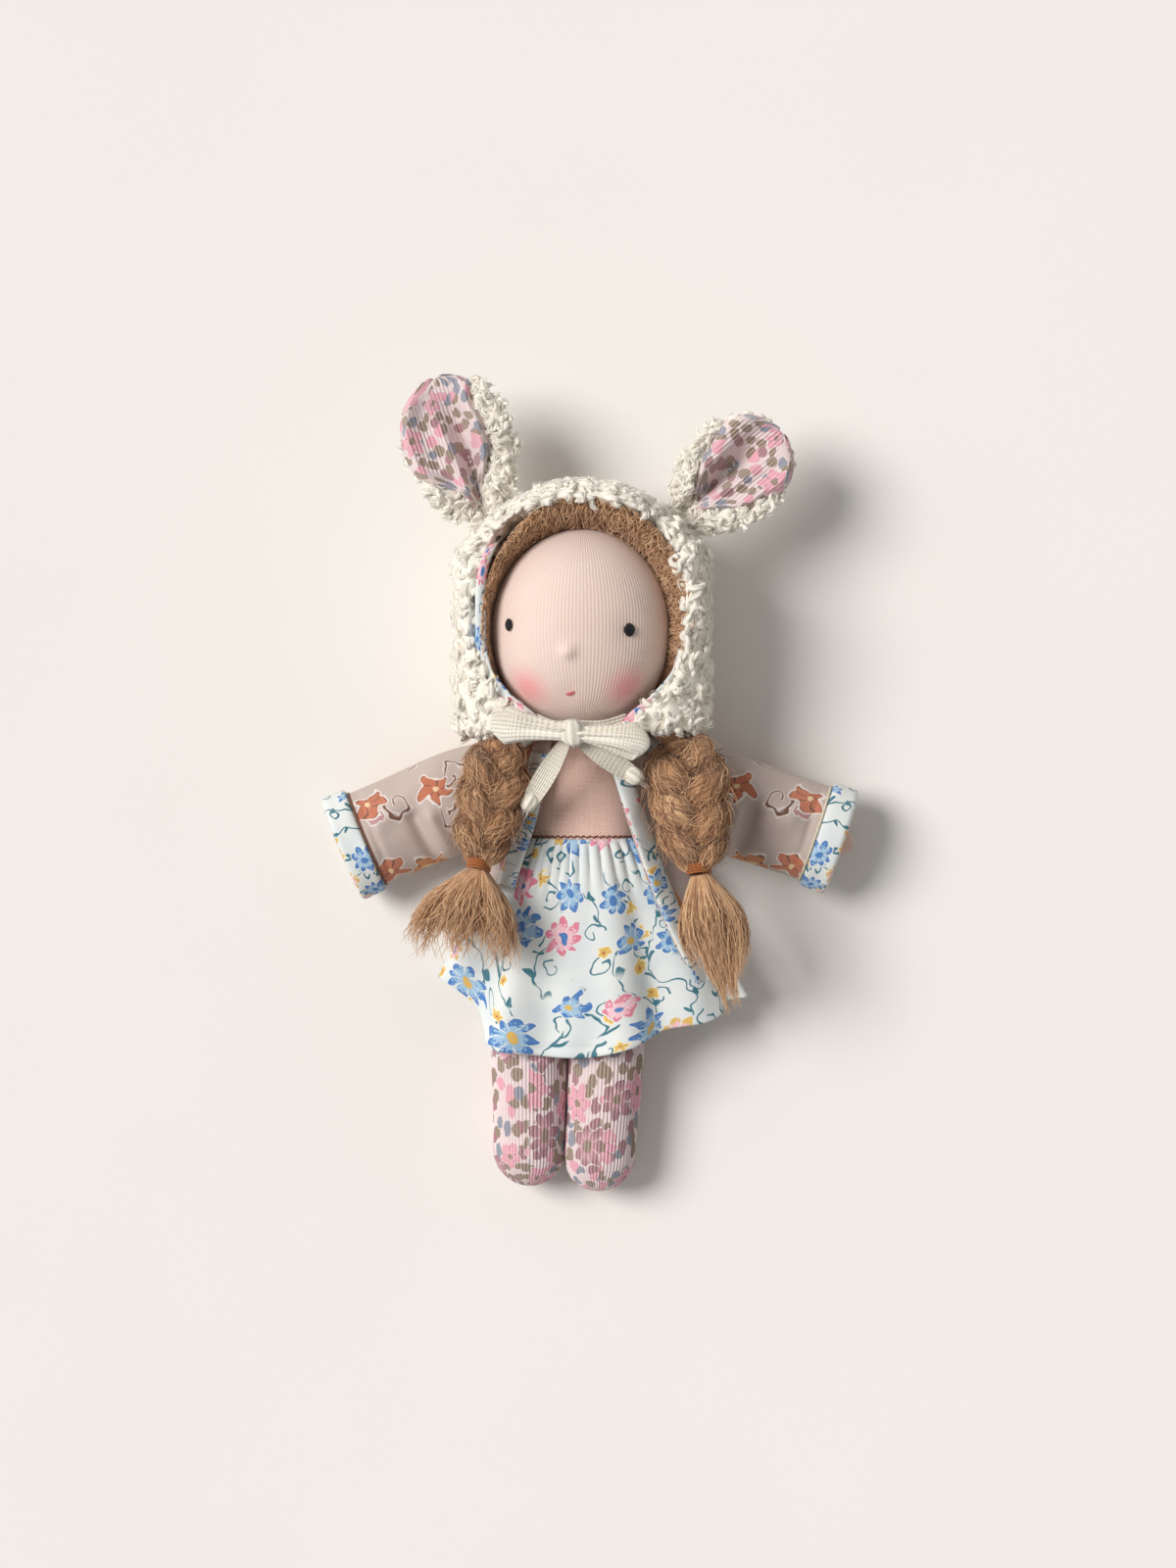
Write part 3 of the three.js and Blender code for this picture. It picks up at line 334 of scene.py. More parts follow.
def join_mesh(mesh, other):
    """Adds another bmesh to a bmesh."""
    data = bpy.data.meshes.new("joined")
    other.to_mesh(data)
    other.free()
    mesh.from_mesh(data)
    bpy.data.meshes.remove(data)


def soft_copy(node, voxel, rounds):
    """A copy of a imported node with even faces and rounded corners."""
    mesh = bmesh.new()
    mesh.from_mesh(frame["nodes"][node].data)
    bmesh.ops.remove_doubles(mesh, verts=mesh.verts, dist=1e-6)
    data = bpy.data.meshes.new("soft_copy")
    mesh.to_mesh(data)
    mesh.clear()
    holder = bpy.data.objects.new("soft_copy", data)
    remesh = holder.modifiers.new("even_faces", "REMESH")
    remesh.mode = "VOXEL"
    remesh.voxel_size = voxel * MM
    even = evaluated_copy(holder)
    mesh.from_mesh(even)
    bpy.data.meshes.remove(even)
    bpy.data.meshes.remove(data)
    axes = {"use_axis_x": True, "use_axis_y": True, "use_axis_z": True}
    for _ in range(rounds):
        bmesh.ops.smooth_vert(mesh, verts=mesh.verts, factor=0.5, **axes)
    mesh.normal_update()
    return mesh


def push_out(mesh, depth):
    """Moves each point along its normal by depth(point in millimetres, normal), in millimetres."""
    mesh.normal_update()
    for vert in mesh.verts:
        vert.co += vert.normal * depth(vert.co / MM, vert.normal) * MM
    mesh.normal_update()


def scatter(mesh, count, seed, keep):
    """Seeded places on a mesh, spread evenly by area where keep allows: points in millimetres and normals."""
    chance = random.Random(seed)
    faces = [f for f in mesh.faces if keep(f.calc_center_median() / MM, f.normal)]
    areas = list(accumulate(f.calc_area() for f in faces))
    places = []
    for i in range(count):
        face = faces[bisect(areas, areas[-1] * (i + chance.random()) / count)]
        corner = chance.choice(face.verts)
        at = face.calc_center_median().lerp(corner.co, 0.8 * chance.random())
        places.append((at / MM, face.normal.copy()))
    return places


def link_mesh(name, mesh, finishes):
    """Puts a finished bmesh into the scene as an object."""
    data = bpy.data.meshes.new(name)
    mesh.to_mesh(data)
    mesh.free()
    for each in finishes:
        data.materials.append(finish(each))
    piece = bpy.data.objects.new(name, data)
    bpy.context.scene.collection.objects.link(piece)
    return piece


def add_piece(name, mesh, nodes, *finishes, slot=None):
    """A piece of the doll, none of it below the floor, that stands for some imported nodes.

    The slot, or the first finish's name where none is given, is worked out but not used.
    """
    for vert in mesh.verts:
        vert.co.z = max(vert.co.z, FLOOR_EASE * MM)
    piece = link_mesh(name, mesh, finishes)
    piece.data.shade_smooth()
    slot = slot or finishes[0]
    if nodes:
        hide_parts(*nodes)
    return piece


def thicken(piece, thickness, inner=0, offset=-1.0):
    """Gives a sheet its thickness, with another of its finishes on the inside."""
    wall = piece.modifiers.new("thickness", "SOLIDIFY")
    wall.thickness = thickness * MM
    wall.offset = offset
    wall.material_offset = inner
    wall.material_offset_rim = 0
    return piece


class Value:
    """An output of a shader node. Arithmetic with it adds math nodes."""

    def __init__(self, tree, socket):
        self.tree = tree
        self.socket = socket

    def __add__(self, other):
        return self.tree.math("ADD", self, other)

    def __sub__(self, other):
        return self.tree.math("SUBTRACT", self, other)

    def __rsub__(self, other):
        return self.tree.math("SUBTRACT", other, self)

    def __mul__(self, other):
        return self.tree.math("MULTIPLY", self, other)

    def __truediv__(self, other):
        return self.tree.math("DIVIDE", self, other)

    def __rtruediv__(self, other):
        return self.tree.math("DIVIDE", other, self)

    def __pow__(self, other):
        return self.tree.math("POWER", self, other)

    def __gt__(self, other):
        return self.tree.math("GREATER_THAN", self, other)

    def __lt__(self, other):
        return self.tree.math("LESS_THAN", self, other)


class Tree:
    """Adds and links the nodes of one shader tree in few words."""

    def __init__(self, tree):
        self.tree = tree

    def add(self, kind, *values, **settings):
        """A new node with its settings, and with values for its first inputs."""
        node = self.tree.nodes.new(kind)
        for key, setting in settings.items():
            setattr(node, key, setting)
        for socket, value in zip(node.inputs, values):
            self.put(socket, value)
        return node

    def put(self, socket, value):
        if isinstance(value, Value):
            self.tree.links.new(value.socket, socket)
        else:
            socket.default_value = (*value, 1) if socket.type == "RGBA" else value

    def fill(self, node, **values):
        """Puts values on a node's named inputs, and gives its outputs by name."""
        for key, value in values.items():
            self.put(node.inputs[key], value)
        return self.outputs(node)

    def outputs(self, node):
        return {socket.name: Value(self, socket) for socket in node.outputs}

    def first(self, node):
        return Value(self, node.outputs[0])

    def math(self, operation, *values, clamp=False):
        return self.first(self.add("ShaderNodeMath", *values, operation=operation, use_clamp=clamp))

    def edge(self, inside, soft=0.12):
        """1 where inside is over 0, with a soft border."""
        return self.math("DIVIDE", inside, soft, clamp=True)

    def vector(self, operation, *values):
        return self.first(self.add("ShaderNodeVectorMath", *values, operation=operation))

    def scaled(self, vector, scale):
        node = self.add("ShaderNodeVectorMath", vector, operation="SCALE")
        return self.fill(node, Scale=scale)["Vector"]

    def away(self, vector, origin=(0, 0, 0)):
        """Distance of a vector from a point."""
        return self.outputs(self.add("ShaderNodeVectorMath", vector, origin, operation="DISTANCE"))["Value"]

    def split(self, vector):
        return list(self.outputs(self.add("ShaderNodeSeparateXYZ", vector)).values())

    def join(self, x, y):
        return self.first(self.add("ShaderNodeCombineXYZ", x, y))

    def mix(self, share, below, above):
        node = self.add("ShaderNodeMix", share, data_type="RGBA")
        self.put(node.inputs[6], below)
        self.put(node.inputs[7], above)
        return Value(self, node.outputs[2])

    def noise(self, vector, scale, detail=2.0):
        node = self.add("ShaderNodeTexNoise")
        self.fill(node, Vector=vector, Scale=scale, Detail=detail, Roughness=0.55)
        return self.first(node)

    def cells(self, vector, scale, randomness):
        node = self.add("ShaderNodeTexVoronoi", voronoi_dimensions="2D", feature="F1")
        return self.fill(node, Vector=vector, Scale=scale, Randomness=randomness)

    def range(self, value, start, end, low=0.0, high=1.0):
        return self.first(self.add("ShaderNodeMapRange", value, start, end, low, high))

    def wave(self, along, pitch):
        """A sine from -1 to 1 with the given pitch."""
        return self.math("SINE", along * (TAU / pitch))

    def group(self, make, **values):
        return self.fill(self.add("ShaderNodeGroup", node_tree=make()), **values)

    def cloth_uv(self):
        """The flat cloth's own coordinates, in millimetres."""
        return self.first(self.add("ShaderNodeUVMap", uv_map="cloth"))

    def object_mm(self):
        """Object coordinates in millimetres."""
        return self.scaled(self.outputs(self.add("ShaderNodeTexCoord"))["Object"], 1 / MM)

    def own_tone(self):
        """A number from 0 to 1 for each loose thread of a mesh."""
        return self.outputs(self.add("ShaderNodeNewGeometry"))["Random Per Island"]


def node_group(name, inputs, outputs):
    """Turns a function of a tree and its inputs into a maker of a node group, which is built once."""

    def decorate(build):
        def make():
            known = bpy.data.node_groups.get(name)
            if known:
                return known
            tree = bpy.data.node_groups.new(name, "ShaderNodeTree")
            tree.interface.new_socket("Vector", in_out="INPUT", socket_type="NodeSocketVector")
            for way, keys in (("INPUT", inputs), ("OUTPUT", outputs)):
                for key in keys.split():
                    tree.interface.new_socket(key, in_out=way, socket_type="NodeSocketFloat")
            s = Tree(tree)
            s.add("NodeGroupOutput", *build(s, s.outputs(s.add("NodeGroupInput"))))
            return tree

        return make

    return decorate


def loose_cells(s, uv, cell):
    """Cells of about the given size in a loose grid: place from each middle, and three chances for each."""
    at = s.scaled(uv, 1 / cell)
    found = s.cells(at, 1.0, 0.62)
    local = s.scaled(s.vector("SUBTRACT", at, found["Position"]), cell)
    return local, s.split(found["Color"])


def turned_angle(s, local, turn):
    """Angle round a cell's middle, in radians, from a start that differs from cell to cell."""
    x, y, _ = s.split(local)
    return s.math("ARCTAN2", y, x) + turn * TAU


@node_group("scattered blossoms", "Cell Radius Petals Share Rim", "Petals Rim Eye Vein Heart Pick")
def blossoms(s, given):
    """Blossoms in loose cells: masks of petals, rim, eye, veins and heart, and a number for each blossom."""
    local, (pick, turn, chance) = loose_cells(s, given["Vector"], given["Cell"])
    away = s.away(local)
    count = given["Petals"] + s.math("FLOOR", turn * 2.99)
    lobes = s.math("COSINE", turned_angle(s, local, turn) * count)
    size = given["Radius"] * s.range(turn, 0, 1, 0.72, 1.12)
    inside = size * (lobes * 0.16 + 0.84) - away
    kept = chance < given["Share"]
    petals = s.edge(inside) * kept
    wide = s.edge(inside + given["Rim"]) * kept
    eye = s.edge(size * 0.25 - away)
    valley = s.edge(-0.86 - lobes, 0.1)
    vein = valley * s.edge(away - size * 0.3) * petals
    heart = s.math("SUBTRACT", 1, away / size, clamp=True)
    return petals, wide - petals, eye * petals, vein, heart, pick


@node_group("curled tendrils", "Cell Radius Width Share", "Line")
def tendrils(s, given):
    """Little curled tendrils in loose cells, each one turn of a spiral: a mask of their lines."""
    local, (_, turn, chance) = loose_cells(s, given["Vector"], given["Cell"])
    part = s.math("FRACT", turned_angle(s, local, turn) / TAU)
    radius = given["Radius"] * s.range(part, 0, 1, 0.3, 1.0)
    off = s.math("ABSOLUTE", s.away(local) - radius)
    return [s.edge(given["Width"] - off) * (chance < given["Share"])]


@node_group("wavy stems", "Pitch Sway Wave Width Leaf", "Stem Leaf")
def vines(s, given):
    """Broken wavy stems with leaves to either side: masks of the stems and the leaves."""
    x, y, _ = s.split(given["Vector"])
    size = given["Leaf"]
    drift = (s.noise(given["Vector"], 0.05) - 0.5) * 16
    row = (x + s.wave(y, given["Wave"]) * given["Sway"] + drift) / given["Pitch"]
    number = s.math("FLOOR", row)
    off = (row - number - 0.5) * given["Pitch"]
    grown = s.range(s.noise(s.join(number * 31.7, y), 0.055), 0.47, 0.5)
    stem = s.edge(given["Width"] - s.math("ABSOLUTE", off))
    step = number * 0.37 + y / size
    count = s.math("FLOOR", step)
    side = s.math("MODULO", s.math("ABSOLUTE", count), 2) * 2 - 1
    up = (step - count - 0.5) * size
    out = off * side - size * 0.2
    along = (out + up) / (size * 0.4)
    thick = (out - up) / (size * 0.17)
    leaf = s.edge(1 - (along**2 + thick**2), 0.2)
    return stem * grown, leaf * grown


@node_group("plain weave", "Pitch", "Height Slub")
def weave(s, given):
    """Plain weave over cloth in millimetres: height of the yarns, and slubs that come and go along them."""
    x, y, _ = s.split(given["Vector"])
    height = s.wave(x, given["Pitch"]) * s.wave(y, given["Pitch"]) * 0.5 + 0.5
    slubs = s.noise(s.join(x * 0.12, y * 1.6), 1.0) + s.noise(s.join(x * 1.6, y * 0.12), 1.0)
    return height, slubs * 0.5


def dress(s, base, roughness, height, strength, depth, sheen=0.0, glow=0.0, glow_reach=(0, 0, 0)):
    """Feeds a cloth's colour and bump to its shader, and sets its constant finish."""
    shader = next(n for n in s.tree.nodes if n.type == "BSDF_PRINCIPLED")
    bump = s.fill(s.add("ShaderNodeBump"), Strength=strength, Distance=depth * MM, Height=height)["Normal"]
    s.fill(shader, Roughness=roughness, Normal=bump)
    s.put(shader.inputs["Base Color"], base)
    s.put(shader.inputs["Specular IOR Level"], 0.25)
    s.put(shader.inputs["Sheen Weight"], sheen)
    s.put(shader.inputs["Sheen Roughness"], 0.6)
    if glow:
        s.put(shader.inputs["Subsurface Weight"], glow)
        s.put(shader.inputs["Subsurface Radius"], glow_reach)


def jersey(s, c):
    """Knitted skin with fine upright ribs, their valleys painted darker as shade, and two blushed cheeks."""
    uv = s.cloth_uv()
    place = s.object_mm()
    x, y, _ = s.split(uv)
    rib = s.wave(x, sizes().jersey_rib / MM)
    grain = s.noise(uv, 1.4, 3)
    # painted shade: the rib valleys are mixed towards a darker skin colour, more where the grain noise is
    # high
    valley = (rib * -0.5 + 0.5) * s.range(grain, 0.3, 0.7, 0.12, 0.4)
    base = s.mix(valley, c.skin, srgb(210, 175, 160))
    base = s.mix(s.range(s.noise(place, 0.06), 0.35, 0.75, 0, 0.3), base, srgb(240, 221, 211))
    for cheek in CHEEKS:
        away = s.away(place, tuple(on_face(cheek)[0]))
        patchy = s.range(away, 9.0, 2.0) * s.range(grain, 0.2, 0.8, 0.75, 1.0)
        base = s.mix(patchy**1.4 * 0.72, base, c.blush)
    height = rib * 0.5 + s.wave(y, 0.8) * 0.14 + grain
    dress(s, base, 0.85, height, 0.5, 0.16, 0.25, glow=0.04, glow_reach=(0.002, 0.001, 0.0007))


def mohair(s, c):
    """Brushed mohair: a random tone for each lock, lighter towards the tails' ends, and painted light that
    lifts the hair round the face out of the hood's shade.
    """
    place = s.object_mm()
    _, y, _ = s.split(place)
    # the tails lighten towards their ends; the rise from y 48 to 66 is painted light against the shade that
    # the hood's rim casts on the hair round the face
    tail_tips_and_painted_light = s.range(y, 0.0, -34.0, 0.0, 0.42) + s.range(y, 48.0, 66.0, 0.0, 0.16)
    tone = s.own_tone() * 0.7 + s.noise(place, 0.45, 3) * 0.45 + tail_tips_and_painted_light
    base = s.mix(s.range(tone, 0.2, 0.46), c.hair_dark, c.hair)
    base = s.mix(s.range(tone, 0.5, 0.92), base, c.hair_light)
    dress(s, base, 0.6, s.noise(place, 4.0, 3), 0.4, 0.1, 0.35)


def plush(s, c):
    """Cream plush: its own tone for each fibre and a noise, mixing a warmer cream into the plush colour."""
    place = s.object_mm()
    tone = s.own_tone() * 0.35 + s.noise(place, 0.35, 4)
    base = s.mix(s.range(tone, 0.35, 0.7), srgb(249, 238, 221), c.plush)
    dress(s, base, 0.95, s.noise(place, 2.2, 6), 0.5, 0.3, 1.0, glow=0.4, glow_reach=(0.002, 0.002, 0.002))


def linen(s, c):
    """Dusty rose linen in a plain weave with slubs, the low parts of the weave painted darker as shade."""
    height, slub = s.group(weave, Vector=s.cloth_uv(), Pitch=0.9).values()
    # painted shade: where the weave is low the linen is mixed towards a darker rose
    base = s.mix(s.range(height, 0.1, 0.9), srgb(232, 182, 162), c.linen)
    base = s.mix(s.range(slub, 0.45, 0.66, 0, 0.5), base, srgb(255, 232, 218))
    dress(s, base, 0.92, height + slub, 0.8, 0.24, 0.15)


def hand_drawn(s, uv, amount):
    """Cloth coordinates that wander a little, so that a print looks drawn by hand."""
    elsewhere = s.vector("ADD", uv, (40.0, 9.0, 0.0))
    off = s.join(s.noise(uv, 0.19, 1) - 0.5, s.noise(elsewhere, 0.19, 1) - 0.5)
    return s.vector("ADD", uv, s.scaled(off, amount))


def lay_blossoms(s, base, flowers, rim, petal, eye):
    """Lays blossoms over a print: their rims, their petals and their eyes."""
    base = s.mix(flowers["Rim"], base, rim)
    base = s.mix(flowers["Petals"], base, petal)
    return s.mix(flowers["Eye"], base, eye)


def cotton(s, uv, base):
    """Matt cotton: fine weave, slight slubs and a soft bloom."""
    height, slub = s.group(weave, Vector=uv, Pitch=0.42).values()
    base = s.mix(s.range(slub, 0.4, 0.7, 0.0, 0.12), base, srgb(226, 220, 208))
    dress(s, base, 0.9, height + s.noise(uv, 0.6, 4), 0.35, 0.14, 0.12)


def garden(s, c, scale):
    """Pale cotton of the skirt and the linings: leafy stems, tendrils, broad blossoms and small ones."""
    cloth = s.cloth_uv()
    uv = hand_drawn(s, cloth, 5.0 * scale)
    bed = {"Pitch": 10.5 * scale, "Sway": 4.2 * scale, "Wave": 31 * scale, "Leaf": 6.4 * scale}
    stem, leaf = s.group(vines, Vector=uv, Width=0.32, **bed).values()
    wash = s.range(s.noise(uv, 0.07), 0.42, 0.62, 0.0, 0.16)
    base = s.mix(s.math("MAXIMUM", stem, leaf), s.mix(wash, c.cotton, c.sky), c.stem)
    moved = s.vector("ADD", uv, (31.0, 77.0, 0.0))
    curl = s.group(tendrils, Vector=moved, Cell=12 * scale, Radius=2.9 * scale, Width=0.3, Share=0.8)
    base = s.mix(curl["Line"], base, c.stem)
    small = s.group(
        blossoms, Vector=uv, Cell=9.5 * scale, Radius=2.3 * scale, Petals=5.0, Share=0.4, Rim=0.35
    )
    base = lay_blossoms(s, base, small, srgb(250, 236, 186), c.ochre, srgb(190, 116, 60))
    moved = s.vector("ADD", uv, (140.0, 60.0, 0.0))
    broad = s.group(
        blossoms, Vector=moved, Cell=14.5 * scale, Radius=5.6 * scale, Petals=6.0, Share=0.86, Rim=0.45
    )
    pick = broad["Pick"]
    strong = s.mix(pick > 0.86, s.mix(pick > 0.58, c.blue, c.pink), c.ochre)
    pale = s.mix(pick > 0.58, c.sky, srgb(248, 196, 206))
    brush = broad["Heart"] + s.range(s.noise(cloth, 1.3, 2), 0.3, 0.7, -0.24, 0.24)
    petal = s.mix(broad["Vein"] * 0.9, s.mix(s.range(brush, 0.34, 0.44), strong, pale), c.cotton)
    base = lay_blossoms(s, base, broad, c.cotton, petal, s.mix(pick > 0.3, c.ochre, c.blue))
    cotton(s, cloth, base)


def jacket_print(s, c):
    """Taupe cotton with sparse rust blossoms, pale outlines and thin brown sprigs."""
    cloth = s.cloth_uv()
    uv = hand_drawn(s, cloth, 6.5)
    sprigs = {"Vector": s.vector("ADD", uv, (57.0, 12.0, 0.0)), "Cell": 13.0, "Radius": 4.2, "Share": 0.5}
    halo = s.group(tendrils, Width=0.75, **sprigs)["Line"]
    base = s.mix(halo * 0.75, c.jacket, srgb(228, 218, 211))
    base = s.mix(s.group(tendrils, Width=0.32, **sprigs)["Line"], base, c.bark)
    small = s.group(blossoms, Vector=uv, Cell=13.0, Radius=2.3, Petals=5.0, Share=0.34, Rim=0.5)
    base = lay_blossoms(s, base, small, srgb(228, 216, 208), srgb(186, 140, 140), c.bark)
    moved = s.vector("ADD", uv, (90.0, 200.0, 0.0))
    broad = s.group(blossoms, Vector=moved, Cell=20.0, Radius=6.4, Petals=5.0, Share=0.62, Rim=0.6)
    petal = s.mix(broad["Pick"] > 0.6, c.rust, srgb(214, 142, 92))
    petal = s.mix(s.range(broad["Heart"], 0.12, 0.06), petal, c.bark)
    petal = s.mix(broad["Vein"], petal, c.bark)
    cotton(s, cloth, lay_blossoms(s, base, broad, srgb(232, 220, 212), petal, srgb(236, 206, 160)))


def corduroy(s, c):
    """Ribbed corduroy printed with round pebbles and soft blossoms; the print sits on the ribs, and the wale
    valleys are painted darker as shade.
    """
    uv = s.cloth_uv()
    drawn = hand_drawn(s, uv, 2.6)
    pebbles = s.cells(drawn, 0.27, 1.0)
    pick, share, size = s.split(pebbles["Color"])
    stone = s.mix(pick > 0.46, c.olive, c.slate)
    stone = s.mix(pick > 0.64, stone, c.mauve)
    stone = s.mix(pick > 0.86, stone, c.rose)
    within = s.range(size, 0, 1, 0.38, 0.56) - pebbles["Distance"]
    base = s.mix(s.edge(within, 0.05) * (share < 0.94), c.corduroy, stone)
    broad = s.group(blossoms, Vector=drawn, Cell=11.0, Radius=5.2, Petals=5.0, Share=0.7, Rim=0.4)
    dark = broad["Pick"] > 0.55
    petal = s.mix(broad["Vein"] * 0.8, s.mix(dark, c.rose, c.mauve), s.mix(dark, c.mauve, c.corduroy))
    petal = s.mix(s.range(broad["Heart"], 0.3, 0.75, 0.0, 0.5), petal, srgb(246, 186, 198))
    base = lay_blossoms(s, base, broad, c.corduroy, petal, c.olive)
    # the wale valleys are mixed towards a dull pink: the print thins there, and the darkening is painted
    # shade
    valley = s.math("COSINE", s.split(uv)[0] * (TAU * MM / sizes().wale)) * -0.5 + 0.5
    base = s.mix(valley**1.6 * 0.55, base, srgb(206, 182, 180))
    nap = s.noise(uv, 2.2, 4)
    base = s.mix(s.range(nap, 0.45, 0.8, 0, 0.2), base, c.corduroy)
    dress(s, base, 0.9, nap, 0.5, 0.18, 0.35)


def tape(s, c):
    """Cream knitted tape with lengthwise ribs, the gaps between its ribs and stitches painted darker as
    shade.
    """
    uv = s.cloth_uv()
    x, y, _ = s.split(uv)
    rib = s.wave(x, 1.06)
    stitch = s.wave(y + s.math("ABSOLUTE", rib) * 0.35, 1.2)
    # painted shade: the gaps between ribs and between stitches are mixed towards a darker cream
    rib_gap_shade = (rib * -0.5 + 0.5) * (stitch * -0.35 + 0.65)
    base = s.mix(rib_gap_shade, c.tape, srgb(198, 184, 158))
    base = s.mix(s.range(s.noise(uv, 1.1), 0.4, 0.7, 0, 0.3), base, srgb(254, 251, 243))
    dress(s, base, 0.9, stitch * 0.5 + rib, 0.6, 0.16, 0.8)


def thread(s, c, key, shine):
    """Twisted thread: fine slanted bands along it and a slight tone change."""
    base = getattr(c, key)
    place = s.object_mm()
    x, y, z = s.split(place)
    shade = tuple(0.45 * part for part in base)
    tone = s.mix(s.range(s.noise(place, 1.5, 3), 0.3, 0.8, 0.0, 0.5), base, shade)
    dress(s, tone, shine, s.wave(x + y + z, 0.45), 0.4, 0.08, 0.1)


def elastic(s, c):
    """White ribbed elastic."""
    x, y, _ = s.split(s.cloth_uv())
    rib = s.wave(y, 1.0)
    base = s.mix(rib * 0.25 + 0.3, srgb(244, 241, 234), srgb(214, 208, 198))
    dress(s, base, 0.8, s.wave(x, 0.5) * 0.3 + rib, 0.5, 0.2)


def floor_paper(s, c):
    """Pale smooth tabletop."""
    place = s.object_mm()
    base = s.mix(s.range(s.noise(place, 0.01), 0.3, 0.7, 0, 0.25), c.floor, srgb(238, 233, 226))
    dress(s, base, 0.8, s.noise(place, 0.8, 3), 0.05, 0.05)


FINISHES = {
    "jersey": jersey,
    "mohair": mohair,
    "plush": plush,
    "linen": linen,
    "garden_cotton": partial(garden, scale=1.0),
    "lining_cotton": partial(garden, scale=0.66),
    "jacket_cotton": jacket_print,
    "corduroy": corduroy,
    "tape": tape,
    "eye_thread": partial(thread, key="eye", shine=0.45),
    "mouth_thread": partial(thread, key="mouth", shine=0.6),
    "tie_thread": partial(thread, key="tie", shine=0.6),
    "pale_thread": partial(thread, key="ecru", shine=0.7),
    "brown_thread": partial(thread, key="brown", shine=0.7),
    "elastic": elastic,
    "floor_paper": floor_paper,
}


def finish(name):
    """The material of that name, made the first time it is asked for."""
    material = bpy.data.materials.get(f"doll_{name}")
    if not material:
        material = bpy.data.materials.new(f"doll_{name}")
        material.use_nodes = True
        FINISHES[name](Tree(material.node_tree), bpy.context.scene.doll_colours)
    return material


# Head

EYES = {"eye_left": Vector((13, -1.1)), "eye_right": Vector((-20, 0.5))}
EYE_SIZES = {"eye_left": Vector((3.2, 3.7)), "eye_right": Vector((2.2, 3.4))}
EYE_STITCHES = 8
CHEEKS = (Vector((-14.6, -16.8)), Vector((12.2, -16.5)))
NOSE = Vector((-3.7, -7))
MOUTH = Vector((-3.2, -18.5))
LIPS = (-0.22, 0.18)
FACE_SHAPE = Vector((1.035 * HEAD_HALF.x, HEAD_HALF.y, HEAD_HALF.z))
NECK_EASE = 0.35
EYE_THREAD = 0.28
MOUTH_THREAD = 0.22
NECK_THREAD = 0.36


def on_face(place):
    """Point of the face at a place given from the head's middle, and the normal there."""
    x, y = place
    z = FACE_SHAPE.z * math.sqrt(1 - (x / FACE_SHAPE.x) ** 2 - (y / FACE_SHAPE.y) ** 2)
    normal = Vector((x / FACE_SHAPE.x**2, y / FACE_SHAPE.y**2, z / FACE_SHAPE.z**2)).normalized()
    return HEAD_MID + Vector((x, y, z)), normal


def head_place(u, v):
    """Egg of the head, seam at the back, with a nose, shallow eye hollows and full cheeks."""
    turn = TAU * (u - 0.5)
    fall = math.pi * v
    way = Vector((math.sin(fall) * math.sin(turn), -math.cos(fall), math.sin(fall) * math.cos(turn)))
    skin = way * FACE_SHAPE
    swell = 0.25 * waver(skin, 16)
    if skin.z > 0:
        at = skin.to_2d()
        swell += 1.7 * bell((at - NOSE).length, 1.9) - 0.3 * bell((at - MOUTH).length, 3)
        swell -= sum(0.5 * bell((at - eye).length, 4.5) for eye in EYES.values())
        swell += sum(0.5 * bell((at - cheek).length, 8) for cheek in CHEEKS)
    return HEAD_MID + skin + swell * way


def neck_place(u, v):
    """Gathered neck that goes down into the torso."""
    angle = TAU * u
    radius = lerp(5.4, 6.9, abs(2 * v - 1)) + 0.3 * math.cos(16 * angle)
    y = lerp(SKIN_LOW.y, HEAD_MID.y - 0.55 * HEAD_HALF.y, v)
    return around_y(TORSO_MID, y, radius, radius, angle)


def eye_threads(place, size):
    """Satin stitches side by side in an oval on the face."""
    threads = []
    middle, normal = on_face(place)
    across = Vector((0, 1, 0)).cross(normal).normalized()
    along = normal.cross(across)
    for i in range(EYE_STITCHES):
        share = 2 * (i + 0.5) / EYE_STITCHES - 1
        half = 0.5 * size.y * math.sqrt(1 - share**2)
        points = []
        for t in (-1, -0.6, 0, 0.6, 1):
            rise = 0.25 + 0.5 * (1 - share**2) * (1 - t * t)
            points.append(middle + across * share * size.x / 2 + along * half * t + normal * rise)
        threads.append((points, (0.6, 1, 1.1, 1, 0.6)))
    return threads


def mouth_threads():
    """Two short stitches, one over the other."""
    threads = []
    for lift in LIPS:
        points = []
        for t in (-1, -0.5, 0, 0.5, 1):
            at, normal = on_face(MOUTH + Vector((1.25 * t, 0.3 * t + 0.12 * t * t + lift)))
            points.append(at + normal * 0.16 * (1 - t * t))
        threads.append((points, (0.3, 0.8, 1, 0.8, 0.3)))
    return threads


def neck_winding():
    """Points of the thread that is wound three times round the neck."""
    low, high, middle = node_box("neck_thread")
    radius = (high.x - low.x) / 2 - NECK_EASE
    points = []
    for angle, share in windings(3):
        y = lerp(low.y + NECK_EASE, high.y - NECK_EASE, share)
        points.append(around_y(middle, y, radius, radius, math.pi / 2 - angle))
    return points


